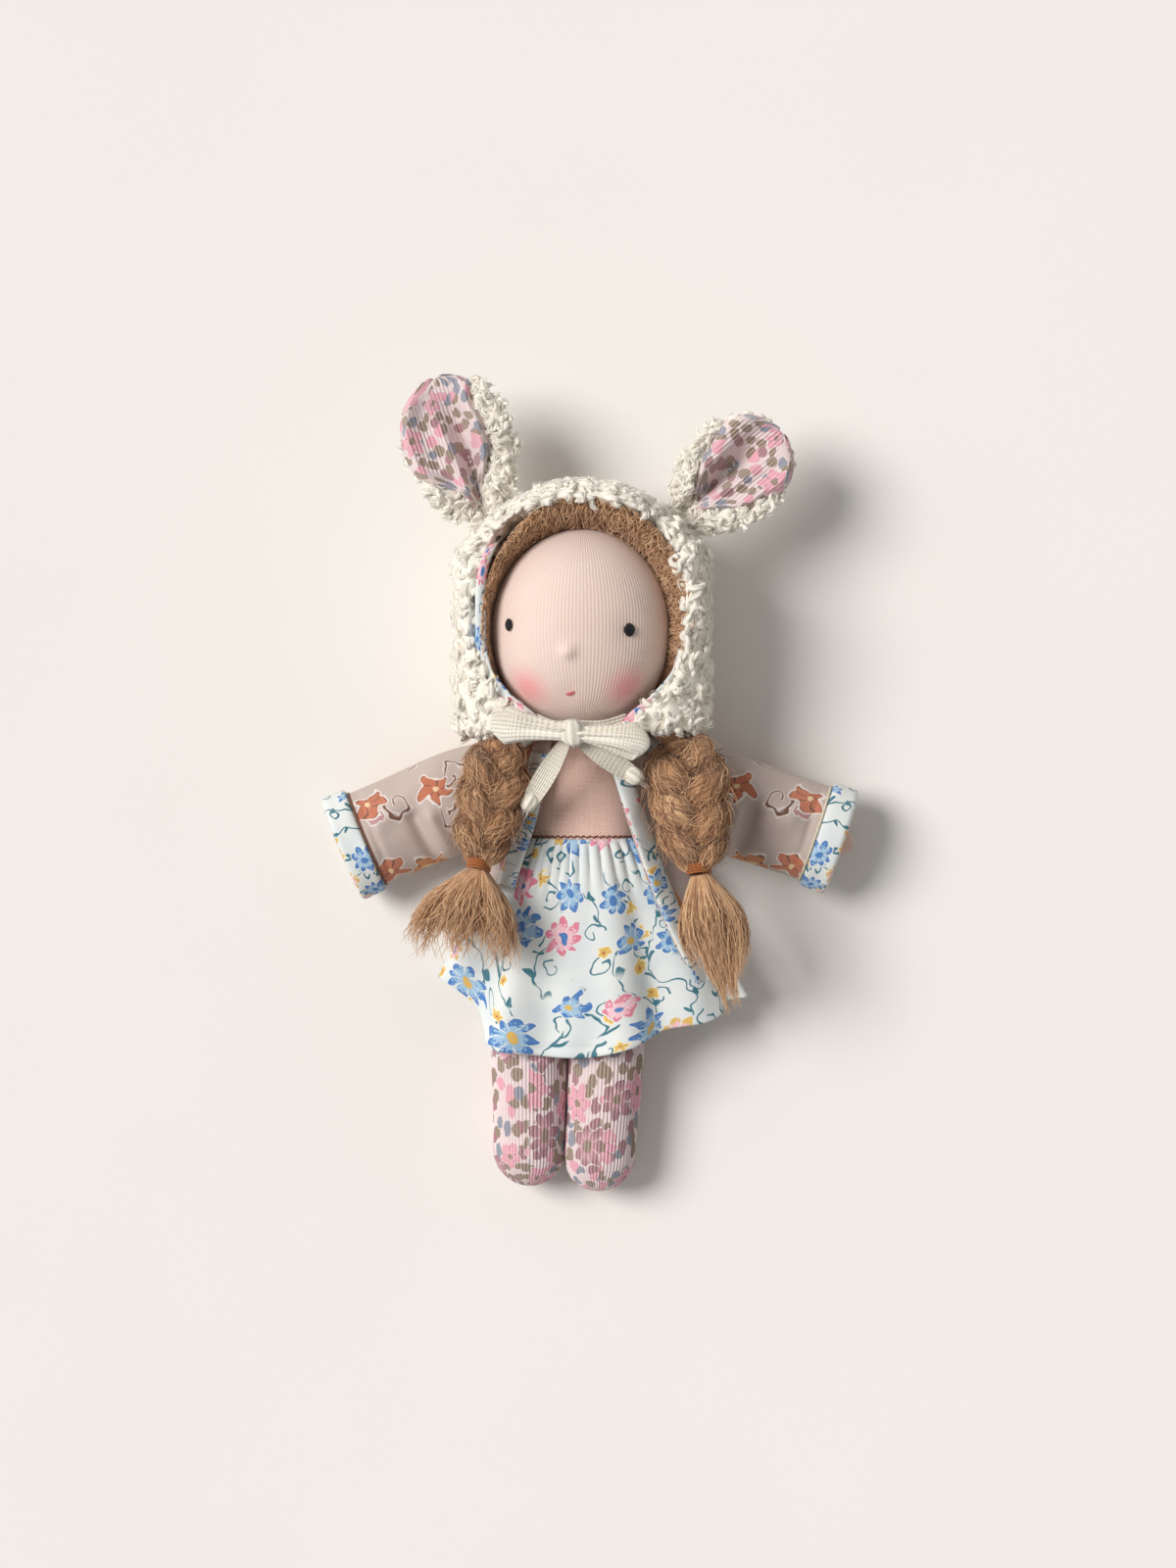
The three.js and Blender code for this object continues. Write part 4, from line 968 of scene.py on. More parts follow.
class DOLL_OT_head(bpy.types.Operator):
    """Head skin with its neck, the stitched eyes and mouth, and the thread round the neck"""

    bl_idname = "doll.head"
    bl_label = "Head"

    def execute(self, context):
        mesh = sheet_grid(150, 110, head_place, (152, 80))
        join_mesh(mesh, sheet_grid(48, 16, neck_place, (44, 22)))
        head = add_piece("doll_head", mesh, ["head_skin", "head_core"], "jersey")
        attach(head, "head")
        for name, place in EYES.items():
            mesh = add_threads(bmesh.new(), eye_threads(place, EYE_SIZES[name]), EYE_THREAD)
            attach(add_piece(f"stitched_{name}", mesh, [name], "eye_thread"), "head")
        mesh = add_threads(bmesh.new(), mouth_threads(), MOUTH_THREAD)
        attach(add_piece("stitched_mouth", mesh, ["mouth"], "mouth_thread"), "head")
        mesh = one_thread(neck_winding(), NECK_THREAD)
        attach(add_piece("neck_winding", mesh, ["neck_thread"], "pale_thread", slot="thread"), "head")
        return {"FINISHED"}


# Hair

FACE_EDGE = {"left": Vector((24.2, 28.4)), "right": Vector((25.7, 28.4))}
HAIR_REACH = {"left": Vector((30.4, 35.4)), "right": Vector((27.6, 35.4))}
HAIR_LOW = 4.0
HAIR_HIGH = 11.5


def hair_borders(angle):
    """Half sizes of the roll's inner and outer border in a direction from the face's middle."""
    left = smooth(math.cos(angle), -0.5, 0.5)
    return [border["right"].lerp(border["left"], left) for border in (FACE_EDGE, HAIR_REACH)]


def hair_ring(angle, k, lift):
    """Point on the roll of hair: angle round the face, k from the face's edge to the bonnet."""
    inner, outer = hair_borders(angle)
    x, y = inner.lerp(outer, k)
    share = clamp(k)
    roll = lerp(HAIR_LOW, HAIR_HIGH, share**0.6) + 1.2 * arch(share)
    rise = roll * smooth(math.sin(angle), -0.9, 0.0) + lift
    return HEAD_MID + Vector((x * math.cos(angle), y * math.sin(angle), rise))


def sink_under_roll(mesh):
    """Lowers the front of the hair's body under its roll, so that the face's edge stays free."""
    for vert in mesh.verts:
        x, y, z = vert.co / MM - HEAD_MID
        angle = math.atan2(y, x)
        inner, outer = hair_borders(angle)
        k = (math.hypot(x / inner.x, y / inner.y) - 1) / (outer.x / inner.x - 1)
        if z > 0 and k < 1.2:
            vert.co.z = min(vert.co.z, MM * (hair_ring(angle, k, 0).z - 1.6))


def hair_roll_place(u, v):
    """Body of the roll under its locks, thinning out at the cheeks."""
    angle = math.radians(lerp(-34, 214, v))
    around = TAU * u
    thin = smooth(math.sin(angle), -0.6, -0.15)
    k = 0.54 + 0.56 * math.cos(around)
    depth = 4.0 * math.sin(around) - 3.2
    at = hair_ring(angle, k, depth * (0.35 + 0.65 * thin))
    return at + UP * 0.8 * waver(at, 2.0, 1)


def ring_locks():
    """Short wavy fibres in all directions over the ring of hair, most of them combed along it."""
    chance = random.Random(11)
    locks = []
    for _ in range(sizes().ring_hairs):
        start = math.radians(chance.uniform(-30, 210))
        side = 1 if start < math.pi / 2 else -1
        sweep = -side * math.radians(chance.triangular(-9, 18, 5))
        k, drift = chance.uniform(-0.02, 1.0), chance.gauss(0.1, 0.36)
        lift, phase = chance.uniform(0.2, 2.8), chance.uniform(0, TAU)
        points = []
        for i in range(6):
            t = i / 5
            angle = start + sweep * t
            thin = smooth(math.sin(angle), -0.6, -0.1)
            across = clamp(k + drift * t + 0.16 * math.sin(phase + 7 * t), -0.1, 1.12)
            points.append(hair_ring(angle, across, lerp(-2.0, 0.7 + lift * arch(t), thin)))
        locks.append((points, (0.5, 1, 1, 1, 0.8, 0.3)))
    return locks


class DOLL_OT_hair(bpy.types.Operator):
    """Ring of brushed mohair round the face"""

    bl_idname = "doll.hair"
    bl_label = "Hair"

    def execute(self, context):
        mesh = soft_copy("hair_cap", 0.9, 5)
        push_out(mesh, lambda at, normal: 0.5 * waver(at, 2.2, 1) + 0.3 * waver(at, 0.9, 2))
        sink_under_roll(mesh)
        join_mesh(mesh, sheet_grid(24, 120, hair_roll_place, (20, 130)))
        add_threads(mesh, ring_locks(), sizes().hair / MM)
        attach(add_piece("mohair_ring", mesh, ["hair_cap"], "mohair"), "head")
        return {"FINISHED"}


# Braids

BRAID_ENDS = {"left": Vector((33.5, -7, 39)), "right": Vector((-27.5, -5.8, 40))}
BRAID_WIDTHS = {"left": 22.5, "right": 19.0}
BRAID_PLAIT = 29.0
BRAID_SHAPE = [(-0.15, 0.5), (0.05, 0.9), (0.25, 1.0), (0.75, 0.84), (0.9, 0.58), (1, 0.3)]
TAIL_TIPS = {"left": Vector((41.5, -41, 37)), "right": Vector((-32.5, -30, 39))}
TAIL_WIDTHS = {"left": 18, "right": 31}
TAIL_SPREADS = {
    "left": [(0, 0.3), (0.12, 0.54), (0.35, 0.94), (0.55, 1.0), (0.8, 0.8), (1, 0.5)],
    "right": [(0, 0.17), (0.15, 0.4), (0.4, 0.74), (0.7, 0.98), (1, 1.1)],
}
TAIL_WISPS = 44
TIE_THREAD = 0.4


class BraidFrame:
    """Axes and sizes of one braid, from its pivot to its winding."""

    def __init__(self, name):
        self.root, _ = joint_place(f"braid_{name}_swing")
        self.end = BRAID_ENDS[name]
        self.run = self.end - self.root
        self.down = self.run.normalized()
        self.out = UP.cross(self.down).normalized()
        self.above = self.out.cross(self.down)
        self.width = BRAID_WIDTHS[name]

    def strand(self, number, t):
        """Middle and radius of one of the three strands at t along the braid."""
        along = t * self.run.length
        thick = on_keys(BRAID_SHAPE, t)
        radius = 0.25 * self.width * thick
        phase = TAU * (along / BRAID_PLAIT + number / 3)
        aside = (0.5 * self.width * thick - radius) * math.sin(phase)
        lift = 0.16 * self.width * thick * math.sin(2 * phase)
        return self.root + self.down * along + self.out * aside + self.above * lift, radius

    def around(self, number, t, angle, reach):
        """Point on a strand's skin."""
        middle, radius = self.strand(number, t)
        way = (self.strand(number, t + 0.01)[0] - self.strand(number, t - 0.01)[0]).normalized()
        aside = way.cross(self.above).normalized()
        lift = aside.cross(way)
        return middle + radius * reach * (math.cos(angle) * aside + 0.9 * math.sin(angle) * lift)

    def winding(self):
        """Points of the thread that is wound four times round the braid's end."""
        points = []
        for angle, share in windings(4):
            swing = self.out * math.cos(angle) + self.above * math.sin(angle)
            spot = self.end + self.down * lerp(-1.4, 1.4, share)
            points.append(spot + swing * (3.2 + 0.15 * math.sin(3 * angle)))
        return points


def braid_mesh(braid, seed):
    """Three plump strands, plaited, under locks that follow them and a few flyaways."""
    chance = random.Random(seed)
    mesh = bmesh.new()
    locks = []
    for number in range(3):
        def place(u, v):
            return braid.around(number, lerp(-0.14, 1.02, v), TAU * u, 0.86 * window(v, 0, 0.04, 0.97, 1))

        join_mesh(mesh, sheet_grid(16, 70, place, (20, 45)))
        for _ in range(sizes().braid_hairs):
            start = chance.uniform(-0.14, 0.86)
            span = chance.uniform(0.08, 0.26)
            angle = chance.uniform(0, TAU)
            twist, phase = chance.gauss(0, 0.7), chance.uniform(0, TAU)
            stray = chance.uniform(0.3, 1.0) if chance.random() < 0.2 else 0.1
            reach, bow = chance.uniform(0.84, 1.05), chance.uniform(0.0, 0.16)
            points = []
            for i in range(7):
                t = i / 6
                away = reach + stray * smooth(t, 0.5, 1.0) + bow * arch(t)
                turn = angle + twist * t + 0.2 * math.sin(phase + 11 * t)
                points.append(braid.around(number, min(1.0, start + span * t), turn, away))
            locks.append((points, (0.4, 1, 1, 1, 0.9, 0.7, 0.3)))
    return add_threads(mesh, locks, sizes().hair / MM)


def tail_mesh(name, seed):
    """A loose tail: a soft core under locks that spread from the winding and meet in pointed wisps."""
    chance = random.Random(seed)
    start = BRAID_ENDS[name]
    run = TAIL_TIPS[name] - start
    down = run.normalized()
    out = UP.cross(down).normalized()
    above = out.cross(down)

    def at(t, aside, lift):
        half = 0.5 * TAIL_WIDTHS[name] * on_keys(TAIL_SPREADS[name], t)
        deep = lerp(0.8, 0.36, smooth(t, 0, 1)) * half
        bow = 1.2 * arch(min(1, t)) * (1 - aside * aside)
        return start + run * lerp(0.05, 1, t) + out * aside * half + above * (lift * deep + bow)

    def core(u, v):
        close = math.sqrt(max(0.0, 1 - (2 * v - 1) ** 8))
        angle = TAU * u
        return at(0.6 * v, 0.5 * close * math.cos(angle), 0.45 * close * math.sin(angle))

    mesh = sheet_grid(20, 24, core, (40, 30))
    push_out(mesh, lambda point, normal: 0.7 * waver(point, 2.6, seed))
    wisps = []
    for _ in range(TAIL_WISPS):
        angle, reach = chance.uniform(0, TAU), math.sqrt(chance.random())
        wisps.append((reach * math.cos(angle), reach * math.sin(angle), chance.uniform(0.66, 1.16)))
    locks = []
    for _ in range(sizes().tail_hairs):
        wisp_aside, wisp_lift, wisp_long = chance.choice(wisps)
        aside = wisp_aside + chance.gauss(0, 0.2)
        lift = wisp_lift + chance.gauss(0, 0.25)
        reach = max(1.0, math.hypot(aside, lift))
        long = wisp_long * chance.uniform(0.5, 1.05)
        phase, ripple = chance.uniform(0, TAU), chance.uniform(0.03, 0.2)
        points = []
        for i in range(9):
            t = i / 8
            meet = 0.75 * smooth(t, 0.35, 1)
            wave = ripple * math.sin(phase + 8 * t) * t
            across = lerp(aside / reach, wisp_aside, meet) + wave
            points.append(at(long * t, across, lerp(lift / reach, wisp_lift, meet) + wave))
        locks.append((points, (0.8, 1, 1, 1, 1, 0.9, 0.75, 0.5, 0.2)))
    return add_threads(mesh, locks, sizes().hair / MM)


class DOLL_OT_braids(bpy.types.Operator):
    """Two plaited braids, each wound with thread over a loose tail"""

    bl_idname = "doll.braids"
    bl_label = "Braids"

    def execute(self, context):
        for number, name in enumerate(SIDES):
            braid = BraidFrame(name)
            body = f"braid_{name}"
            mesh = braid_mesh(braid, 20 + number)
            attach(add_piece(f"mohair_braid_{name}", mesh, [f"braid_{name}"], "mohair"), body)
            mesh = tail_mesh(name, 40 + number)
            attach(add_piece(f"mohair_tail_{name}", mesh, [f"braid_tail_{name}"], "mohair"), body)
            mesh = one_thread(braid.winding(), TIE_THREAD)
            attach(add_piece(f"thread_winding_{name}", mesh, [f"braid_tie_{name}"], "tie_thread"), body)
        return {"FINISHED"}


# Bonnet

BONNET_CROWN_Y = HEAD_MID.y + 6
HOOD_CURL = 4.8
BONNET_HEM = node_box("bonnet_lining")[0].y
OPENING_TOP = 35.5
OPENING = [
    (-36, 12.4), (-26, 13), (-19, 21), (-11, 27.4), (4, 29), (20, 27), (31, 18), (OPENING_TOP, 0.5),
]
HOOD_SHOULDERS = (Vector((33, 81)), Vector((-31.5, 80)))


def plush_curls(places, long, seed):
    """Curled tufts that lie on a surface: plump locks, and fine fibres that run along each of them."""
    chance = random.Random(seed)
    locks, fibres = [], []
    for at, normal in places:
        way = normal.orthogonal().normalized()
        way.rotate(Quaternion(normal, chance.uniform(0, TAU)))
        aside = normal.cross(way)
        reach = long * chance.uniform(0.6, 1.3)
        bend = chance.choice((-1, 1)) * chance.uniform(1.0, 4.6)
        rise = chance.uniform(0.1, 0.7)

        def run(off, up, kink, steps):
            spot = at + normal * up
            points = []
            for i in range(steps + 1):
                t = i / steps
                forward = way * math.cos(bend * t) + aside * math.sin(bend * t)
                over = normal * rise * arch(0.1 + 0.8 * t)
                points.append(spot + normal.cross(forward) * (off + kink * math.sin(7 * t)) + over)
                spot = spot + forward * reach / steps
            return points

        locks.append((run(0, -0.2, 0, 5), (0.4, 0.95, 1.1, 1.05, 0.9, 0.35)))
        for _ in range(2):
            wide, up, kink = chance.uniform(-0.8, 0.8), chance.uniform(0.5, 0.9), chance.uniform(-0.3, 0.3)
            fibres.append((run(wide, up, kink, 3), (0.6, 1, 1, 0.4)))
    return locks, fibres


def opening_half(y):
    """Half width of the bonnet's opening at a height."""
    return on_keys(OPENING, y - HEAD_MID.y)


def lining_shows(y):
    """How much of the lining rolls out of the hood's right edge at a height."""
    return bell(y - HEAD_MID.y - 8, 16)


def hood_swell(at, normal):
    """Lumps of the plush, and the fullness of the hood's shoulders."""
    full = sum(2.8 * bell((at.to_2d() - shoulder).length, 8) for shoulder in HOOD_SHOULDERS)
    return full + 0.7 * waver(at, 3.4, 3) + 0.5 * waver(at, 1.6, 4)


def lower_rim(mesh):
    """Lowers the hood's rim so that light reaches the hair, and turns the right rim out."""
    for vert in mesh.verts:
        at = vert.co / MM
        x, y, z = at - HEAD_MID
        near = bell(max(0.0, abs(x) - opening_half(at.y)), 6) * smooth(z, 3, 11)
        near *= smooth(y, OPENING_TOP + 4, OPENING_TOP - 4)
        right = smooth(-at.x, -4, 18)
        vert.co.z -= MM * near * lerp(1.6, 4.0, right)
        vert.co.x -= MM * near * 1.7 * right * lining_shows(at.y)


def lining_place(u, v):
    """Lining of the hood: round the back from one edge of the opening to the other, hem to crown."""
    reach = HEAD_HALF.x + 4.9
    y = lerp(BONNET_HEM, BONNET_CROWN_Y + reach - 0.4, v)
    radius = reach if y < BONNET_CROWN_Y else math.sqrt(max(0.1, reach**2 - (y - BONNET_CROWN_Y) ** 2))
    half = opening_half(y)
    start = math.asin(min(1.0, (half - 1.4) / radius))
    end = math.asin(min(1.0, (half - 1.4 - 1.2 * lining_shows(y)) / radius))
    angle = lerp(start, TAU - end, u)
    at = around_y(HEAD_MID, y, radius, HEAD_HALF.z / HEAD_HALF.x * radius, angle)
    if at.z > HEAD_MID.z:
        at.z = lerp(HEAD_MID.z, at.z, lerp(0.45, 1, smooth(y, BONNET_HEM, HEAD_MID.y)))
    share = max(0.0, (u - 0.93) / 0.07)
    rise = 13 + arch(share) + 0.7 * waver((0, y, 0), 4, 31)
    band = Vector((HEAD_MID.x - half + lerp(-1.4, 2.4, share), y, HEAD_MID.z + rise))
    return at.lerp(band, smooth(u, 0.92, 0.95) * smooth(lining_shows(y), 0.1, 0.6))


def curly(at, normal):
    """Whether the hood's plush is curled at a place: it is plain below, and partly brushed on its right."""
    brushed = at.x < -22 and at.y > HEAD_MID.y - 12
    return at.z > 1.5 and not (brushed and waver(at, 1.5, 7) < -0.1)


class DOLL_OT_bonnet(bpy.types.Operator):
    """Curly plush hood with its printed lining"""

    bl_idname = "doll.bonnet"
    bl_label = "Bonnet"

    def execute(self, context):
        mesh = soft_copy("bonnet_shell", 1.2, 9)
        push_out(mesh, hood_swell)
        lower_rim(mesh)
        locks, fibres = plush_curls(scatter(mesh, sizes().curls, 5, curly), HOOD_CURL, 6)
        add_threads(mesh, locks, sizes().curl / MM)
        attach(add_piece("plush_hood", mesh, ["bonnet_shell"], "plush"), "head")
        mesh = add_threads(bmesh.new(), fibres, sizes().fibre / MM)
        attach(add_piece("plush_fibres", mesh, [], "plush"), "head")
        mesh = sheet_grid(110, 70, lining_place, (130, 66), start=(83, 72))
        lining = add_piece("hood_lining", mesh, ["bonnet_lining"], "lining_cotton")
        thicken(lining, 0.6)
        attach(lining, "head")
        return {"FINISHED"}


# Ears

EAR_SIZES = {"left": Vector((29, 36)), "right": Vector((31, 40.5))}
EAR_FOOT = 3
EAR_CURL = 4.0
EAR_CUP = 3.4
EAR_THICK = 4.4
EAR_OUTER_INSETS = {"left": (2.6, 0.55, 0.8), "right": (2.0, 0.15, 0.4)}
EAR_INNER_INSETS = {"left": (3.6, 0.5, 0.85), "right": (5.4, 0.75, 0.98)}
EAR_RIM = -0.5
EAR_LINING_START = 0.12
EAR_LINING_END = 0.998
EAR_FOLD_ASIDE = 0.12


class EarFrame:
    """Axes of one ear: its base, across, along and up. Its inner side is the one towards the other ear."""

    def __init__(self, name):
        self.base, self.across = joint_place(f"ear_{name}_flop")
        self.along = UP.cross(self.across).normalized()
        self.width, self.length = EAR_SIZES[name]
        self.inner = -SIDES[name]
        self.insets = EAR_INNER_INSETS[name], EAR_OUTER_INSETS[name]

    def half(self, t):
        """Half width of the ear at t along it: slim at the base, broad towards the round tip."""
        return (self.width / 2) * math.sqrt(max(0, 4 * t * (1 - t))) * lerp(0.76, 1.1, t)

    def local(self, at):
        """Share of the ear's length and place across it, towards its inner side."""
        off = at - self.base
        t = (off.dot(self.along) + EAR_FOOT) / (self.length + EAR_FOOT)
        return clamp(t, 0.01, 0.99), off.dot(self.across) * self.inner

    def borders(self, t):
        """Places across the ear where the lining meets the plush on the outer and the inner side."""
        half = self.half(t)
        inner, outer = (lerp(deep, EAR_RIM, smooth(t, start, end)) for deep, start, end in self.insets)
        point = lerp(0.25, 1, smooth(t, EAR_LINING_START, 0.48))
        outer_reach = max(0.2, half - min(outer, 0.55 * half))
        inner_reach = max(0.2, half - min(inner, 0.6 * half))
        return -outer_reach * point, inner_reach * point

    def tuck(self, t, x):
        """Depth of the fold that runs up the ear from its base."""
        off = x - EAR_FOLD_ASIDE * self.half(t)
        return 5.2 * bell(off, lerp(1.4, 4.6, t)) * window(t, 0, 0.12, 0.5, 1.0)

    def rolls(self, t, x):
        """Height of the two soft rolls of cloth beside the fold."""
        off = abs(x - EAR_FOLD_ASIDE * self.half(t)) - lerp(1.5, 6.5, t)
        return 2.8 * bell(off, 2.2) * window(t, 0.12, 0.3, 0.5, 0.95)

    def lining(self, u, v):
        """Corduroy leaf in the ear: ribs along it, a deep fold from the base, its rims curled up."""
        t = lerp(EAR_LINING_START, EAR_LINING_END, v)
        x = lerp(*self.borders(t), u)
        cup = EAR_CUP * (2 * x / self.width) ** 2 * smooth(t, 0, 0.35)
        dome = math.sqrt(max(0, 4 * t * (1 - t))) * math.sqrt(max(0, 1 - (x / self.half(t)) ** 2))
        wale = 0.2 * math.cos(TAU * x * MM / sizes().wale)
        rim = 2.4 * smooth(abs(2 * u - 1), 0.3, 0.9) * window(t, 0.1, 0.4, 0.85, 0.98)
        curl = rim + 0.7 * smooth(t, 0.7, 0.95) + self.rolls(t, x)
        soft = 0.6 * waver((x, self.length * t, 0), 7, self.inner + 3)
        z = cup + 0.5 * EAR_THICK * dome + 1.3 - self.tuck(t, x) + soft
        z += (wale + curl) * window(u, 0, 0.1, 0.9, 1)
        y = lerp(-EAR_FOOT, self.length, t)
        return self.base + self.across * x * self.inner + self.along * y + UP * z

    def on_plush(self, at, normal):
        """Whether a place on the ear is outside its lining."""
        t, x = self.local(at)
        outer, inner = self.borders(t)
        return normal.z < 0.2 or x > inner - 0.4 or x < outer + 0.4 or t < 0.08

    def swell(self, at, normal):
        """Fullness of the plush beside the lining, the fold below it, and lumps."""
        t, x = self.local(at)
        outer, inner = self.borders(t)
        band = max(smooth(x, inner - 1.5, inner + 2.0), smooth(-x, -outer - 1.5, 2.0 - outer))
        rise = 2.6 * band * smooth(t, 0.05, 0.3) - self.tuck(t, x)
        return rise * max(0, normal.z) + 0.45 * waver(at, 2.6, 8) + 0.3 * waver(at, 1.3, 9)


class DOLL_OT_ears(bpy.types.Operator):
    """Two bunny ears: plush leaves with printed corduroy laid inside"""

    bl_idname = "doll.ears"
    bl_label = "Ears"

    def execute(self, context):
        for number, name in enumerate(SIDES):
            ear = EarFrame(name)
            mesh = soft_copy(f"ear_plush_{name}", 0.9, 5)
            push_out(mesh, ear.swell)
            places = scatter(mesh, sizes().ear_curls, 30 + number, ear.on_plush)
            locks, fibres = plush_curls(places, EAR_CURL, 50 + number)
            add_threads(mesh, locks, 0.85 * sizes().curl / MM)
            add_threads(mesh, fibres, sizes().fibre / MM)
            leaf = add_piece(f"plush_ear_{name}", mesh, [f"ear_plush_{name}"], "plush")
            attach(leaf, f"ear_{name}")
            mesh = sheet_grid(120, 60, ear.lining, (ear.width, ear.length), UNDERNEATH)
            inside = add_piece(f"corduroy_ear_{name}", mesh, [f"ear_lining_{name}"], "corduroy")
            thicken(inside, 0.8)
            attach(inside, f"ear_{name}")
        return {"FINISHED"}


# Bow

TAPE_RIBS = 9
TAPE_WIDTH = 8.5
BOW_LOOPS = {
    "right": (Vector((-22.4, 2.6, 0)), 2.2, 9.4, 0.5),
    "left": (Vector((20.9, -3.0, 0)), 3.0, 8.0, 2.2),
}
LOOP_WIDTHS = [(0, 0.44), (0.4, 0.66), (0.75, 0.98), (0.92, 1.0), (1, 0.88)]
BOW_TAILS = {"right": Vector((-13.5, 11.5, 39.6)), "left": Vector((15.5, 18.8, 39.6))}
BOW_TAIL_WIDTH = 7.2
BOW_TAIL_SHAPE = ((0, 0.42), (0.5, 0.78), (0.85, 0.7), (1, 0.4))
BOW_TAIL_WIDTHS = [(t, BOW_TAIL_WIDTH * share) for t, share in BOW_TAIL_SHAPE]
END_KNOT = Vector((4.8, 5.4, 4.6))
CHIN_WIDTHS = [(0, 4.4), (1, 4.4)]


def tape_strip(points, widths, rows, ribs, curl, long):
    """A ribbed tape along a smooth curve through the points, flat on the doll."""

    def ahead(t, step):
        return route(points, t + step) - route(points, t - step)

    def place(u, v):
        across = UP.cross(ahead(v, 0.05)).normalized()
        above = across.cross(ahead(v, 0.01)).normalized()
        side = 2 * u - 1
        rise = 0.16 * math.cos(math.pi * ribs * side) + curl * side * side
        return route(points, v) + across * side * on_keys(widths, v) / 2 + above * rise

    return sheet_grid(54, rows, place, (TAPE_WIDTH, long))


def loop_mesh(reach, lift, width, spread_open, seed):
    """A bow loop: tape out to its round far end and back under itself, pinched at the knot."""
    across = UP.cross(reach).normalized()
    if across.y < 0:
        across.negate()

    def place(u, v):
        side = 2 * u - 1
        swing = arch(v)
        layer = math.cos(math.pi * v)
        far_end = smooth(swing, 0.6, 1.0)
        out = (0.05 + 0.95 * swing**0.8) * (1 - 0.15 * far_end * abs(side) ** 2.2)
        rise = lift * layer * (0.3 + 0.7 * swing) - 1.1 * swing**2
        rise += 0.26 * math.cos(math.pi * TAPE_RIBS * side) * (1 if layer > 0 else -1)
        rise += 0.6 * math.sin(2.4 * math.pi * side + seed) * (1 - swing)
        rise += 0.5 * waver((9 * out, 2 * side, v), 3, seed)
        rise -= 0.5 * lift * side * side * smooth(layer, 0, 0.6)
        aside = side * width * on_keys(LOOP_WIDTHS, swing) / 2 + spread_open * layer * swing
        return BOW_MID + reach * out + across * aside + UP * rise

    return sheet_grid(54, 72, place, (TAPE_WIDTH, 50))


def knot_place(middle, size, turn):
    """A lump of wrapped tape with ribs round it."""

    def place(u, v):
        angle, fall = TAU * u, math.pi * v
        ring = math.sin(fall) ** 0.75
        at = Vector((ring * math.cos(angle), -math.cos(fall), ring * math.sin(angle)))
        rib = 1 + 0.05 * math.cos(11 * math.pi * at.x) + 0.08 * waver(at, 0.8, 12)
        at = at * size / 2 * rib
        at.rotate(Quaternion(UP, turn))
        return middle + at

    return place


def frayed_end(tip, way, seed):
    """Loose yarns that stick out past an end knot."""
    chance = random.Random(seed)
    yarns = []
    for _ in range(14):
        lean = Vector((chance.uniform(-1, 1), chance.uniform(-1, 1), chance.uniform(-0.5, 0.2)))
        far = tip + way * chance.uniform(4.2, 5.6) + lean * 1.6
        yarns.append(([tip + way * 1.5, tip.lerp(far, 0.6) + lean * 0.4, far], (1, 1, 0.6)))
    return yarns


def bow_tail_mesh(side, tip):
    """A tape from under the knot to an end knot with a frayed end."""
    start = BOW_MID + Vector((2.2 * side, -2.6, -3.0))
    points = [start, start.lerp(tip, 0.45) + UP, tip]
    mesh = tape_strip(points, BOW_TAIL_WIDTHS, 30, TAPE_RIBS, -0.5, 20)
    way = (tip - route(points, 0.9)).normalized()
    turn = math.atan2(way.y, way.x) - math.pi / 2
    join_mesh(mesh, sheet_grid(40, 24, knot_place(tip, END_KNOT, turn), (6, 18)))
    return add_threads(mesh, frayed_end(tip, way, 60), 0.16)


def chin_tape_mesh(name, side):
    """A tape from the knot, under the chin, to one side of the bonnet."""
    low, high, _ = node_box(f"chin_tape_{name}")
    inner, outer = (low.x, high.x) if side > 0 else (high.x, low.x)
    points = [
        Vector((inner, low.y + 1.8, high.z - 1)),
        Vector((lerp(inner, outer, 0.55), low.y + 1.9, lerp(low.z, high.z, 0.62))),
        Vector((outer + 1.5 * side, high.y - 1.5, low.z)),
    ]
    return tape_strip(points, CHIN_WIDTHS, 20, 5, -0.3, 14)


class DOLL_OT_bow(bpy.types.Operator):
    """Bow of knitted tape under the chin, with knotted tails and a tape to each side of the bonnet"""

    bl_idname = "doll.bow"
    bl_label = "Bow"

    def execute(self, context):
        low, high, middle = node_box("bow_knot")
        mesh = sheet_grid(64, 40, knot_place(middle, 0.84 * (high - low), 0.1), (8, 22))
        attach(add_piece("tape_knot", mesh, ["bow_knot"], "tape"), "head")
        for seed, (name, shape) in enumerate(BOW_LOOPS.items()):
            loop = add_piece(f"tape_loop_{name}", loop_mesh(*shape, seed), [f"bow_loop_{name}"], "tape")
            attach(thicken(loop, 0.8, offset=0), "head")
        for name, tip in BOW_TAILS.items():
            mesh = bow_tail_mesh(SIDES[name], tip)
            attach(add_piece(f"tape_tail_{name}", mesh, [f"bow_tail_{name}"], "tape"), "head")
        for name, side in SIDES.items():
            mesh = chin_tape_mesh(name, side)
            band = add_piece(f"tape_chin_{name}", mesh, [f"chin_tape_{name}"], "tape")
            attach(thicken(band, 0.8), "head")
        return {"FINISHED"}


# Torso

WAIST_Y = 0.0
WAIST_THREAD = 0.22
TORSO_SHAPE = [
    (0, 0.0), (0.02, 0.5), (0.08, 0.88), (0.2, 1.0), (0.45, 0.985),
    (0.76, 0.97), (0.88, 0.86), (0.95, 0.68), (1, 0.51),
]
ELASTIC_LOW, ELASTIC_HIGH, ELASTIC_MID = node_box("waist_elastic")


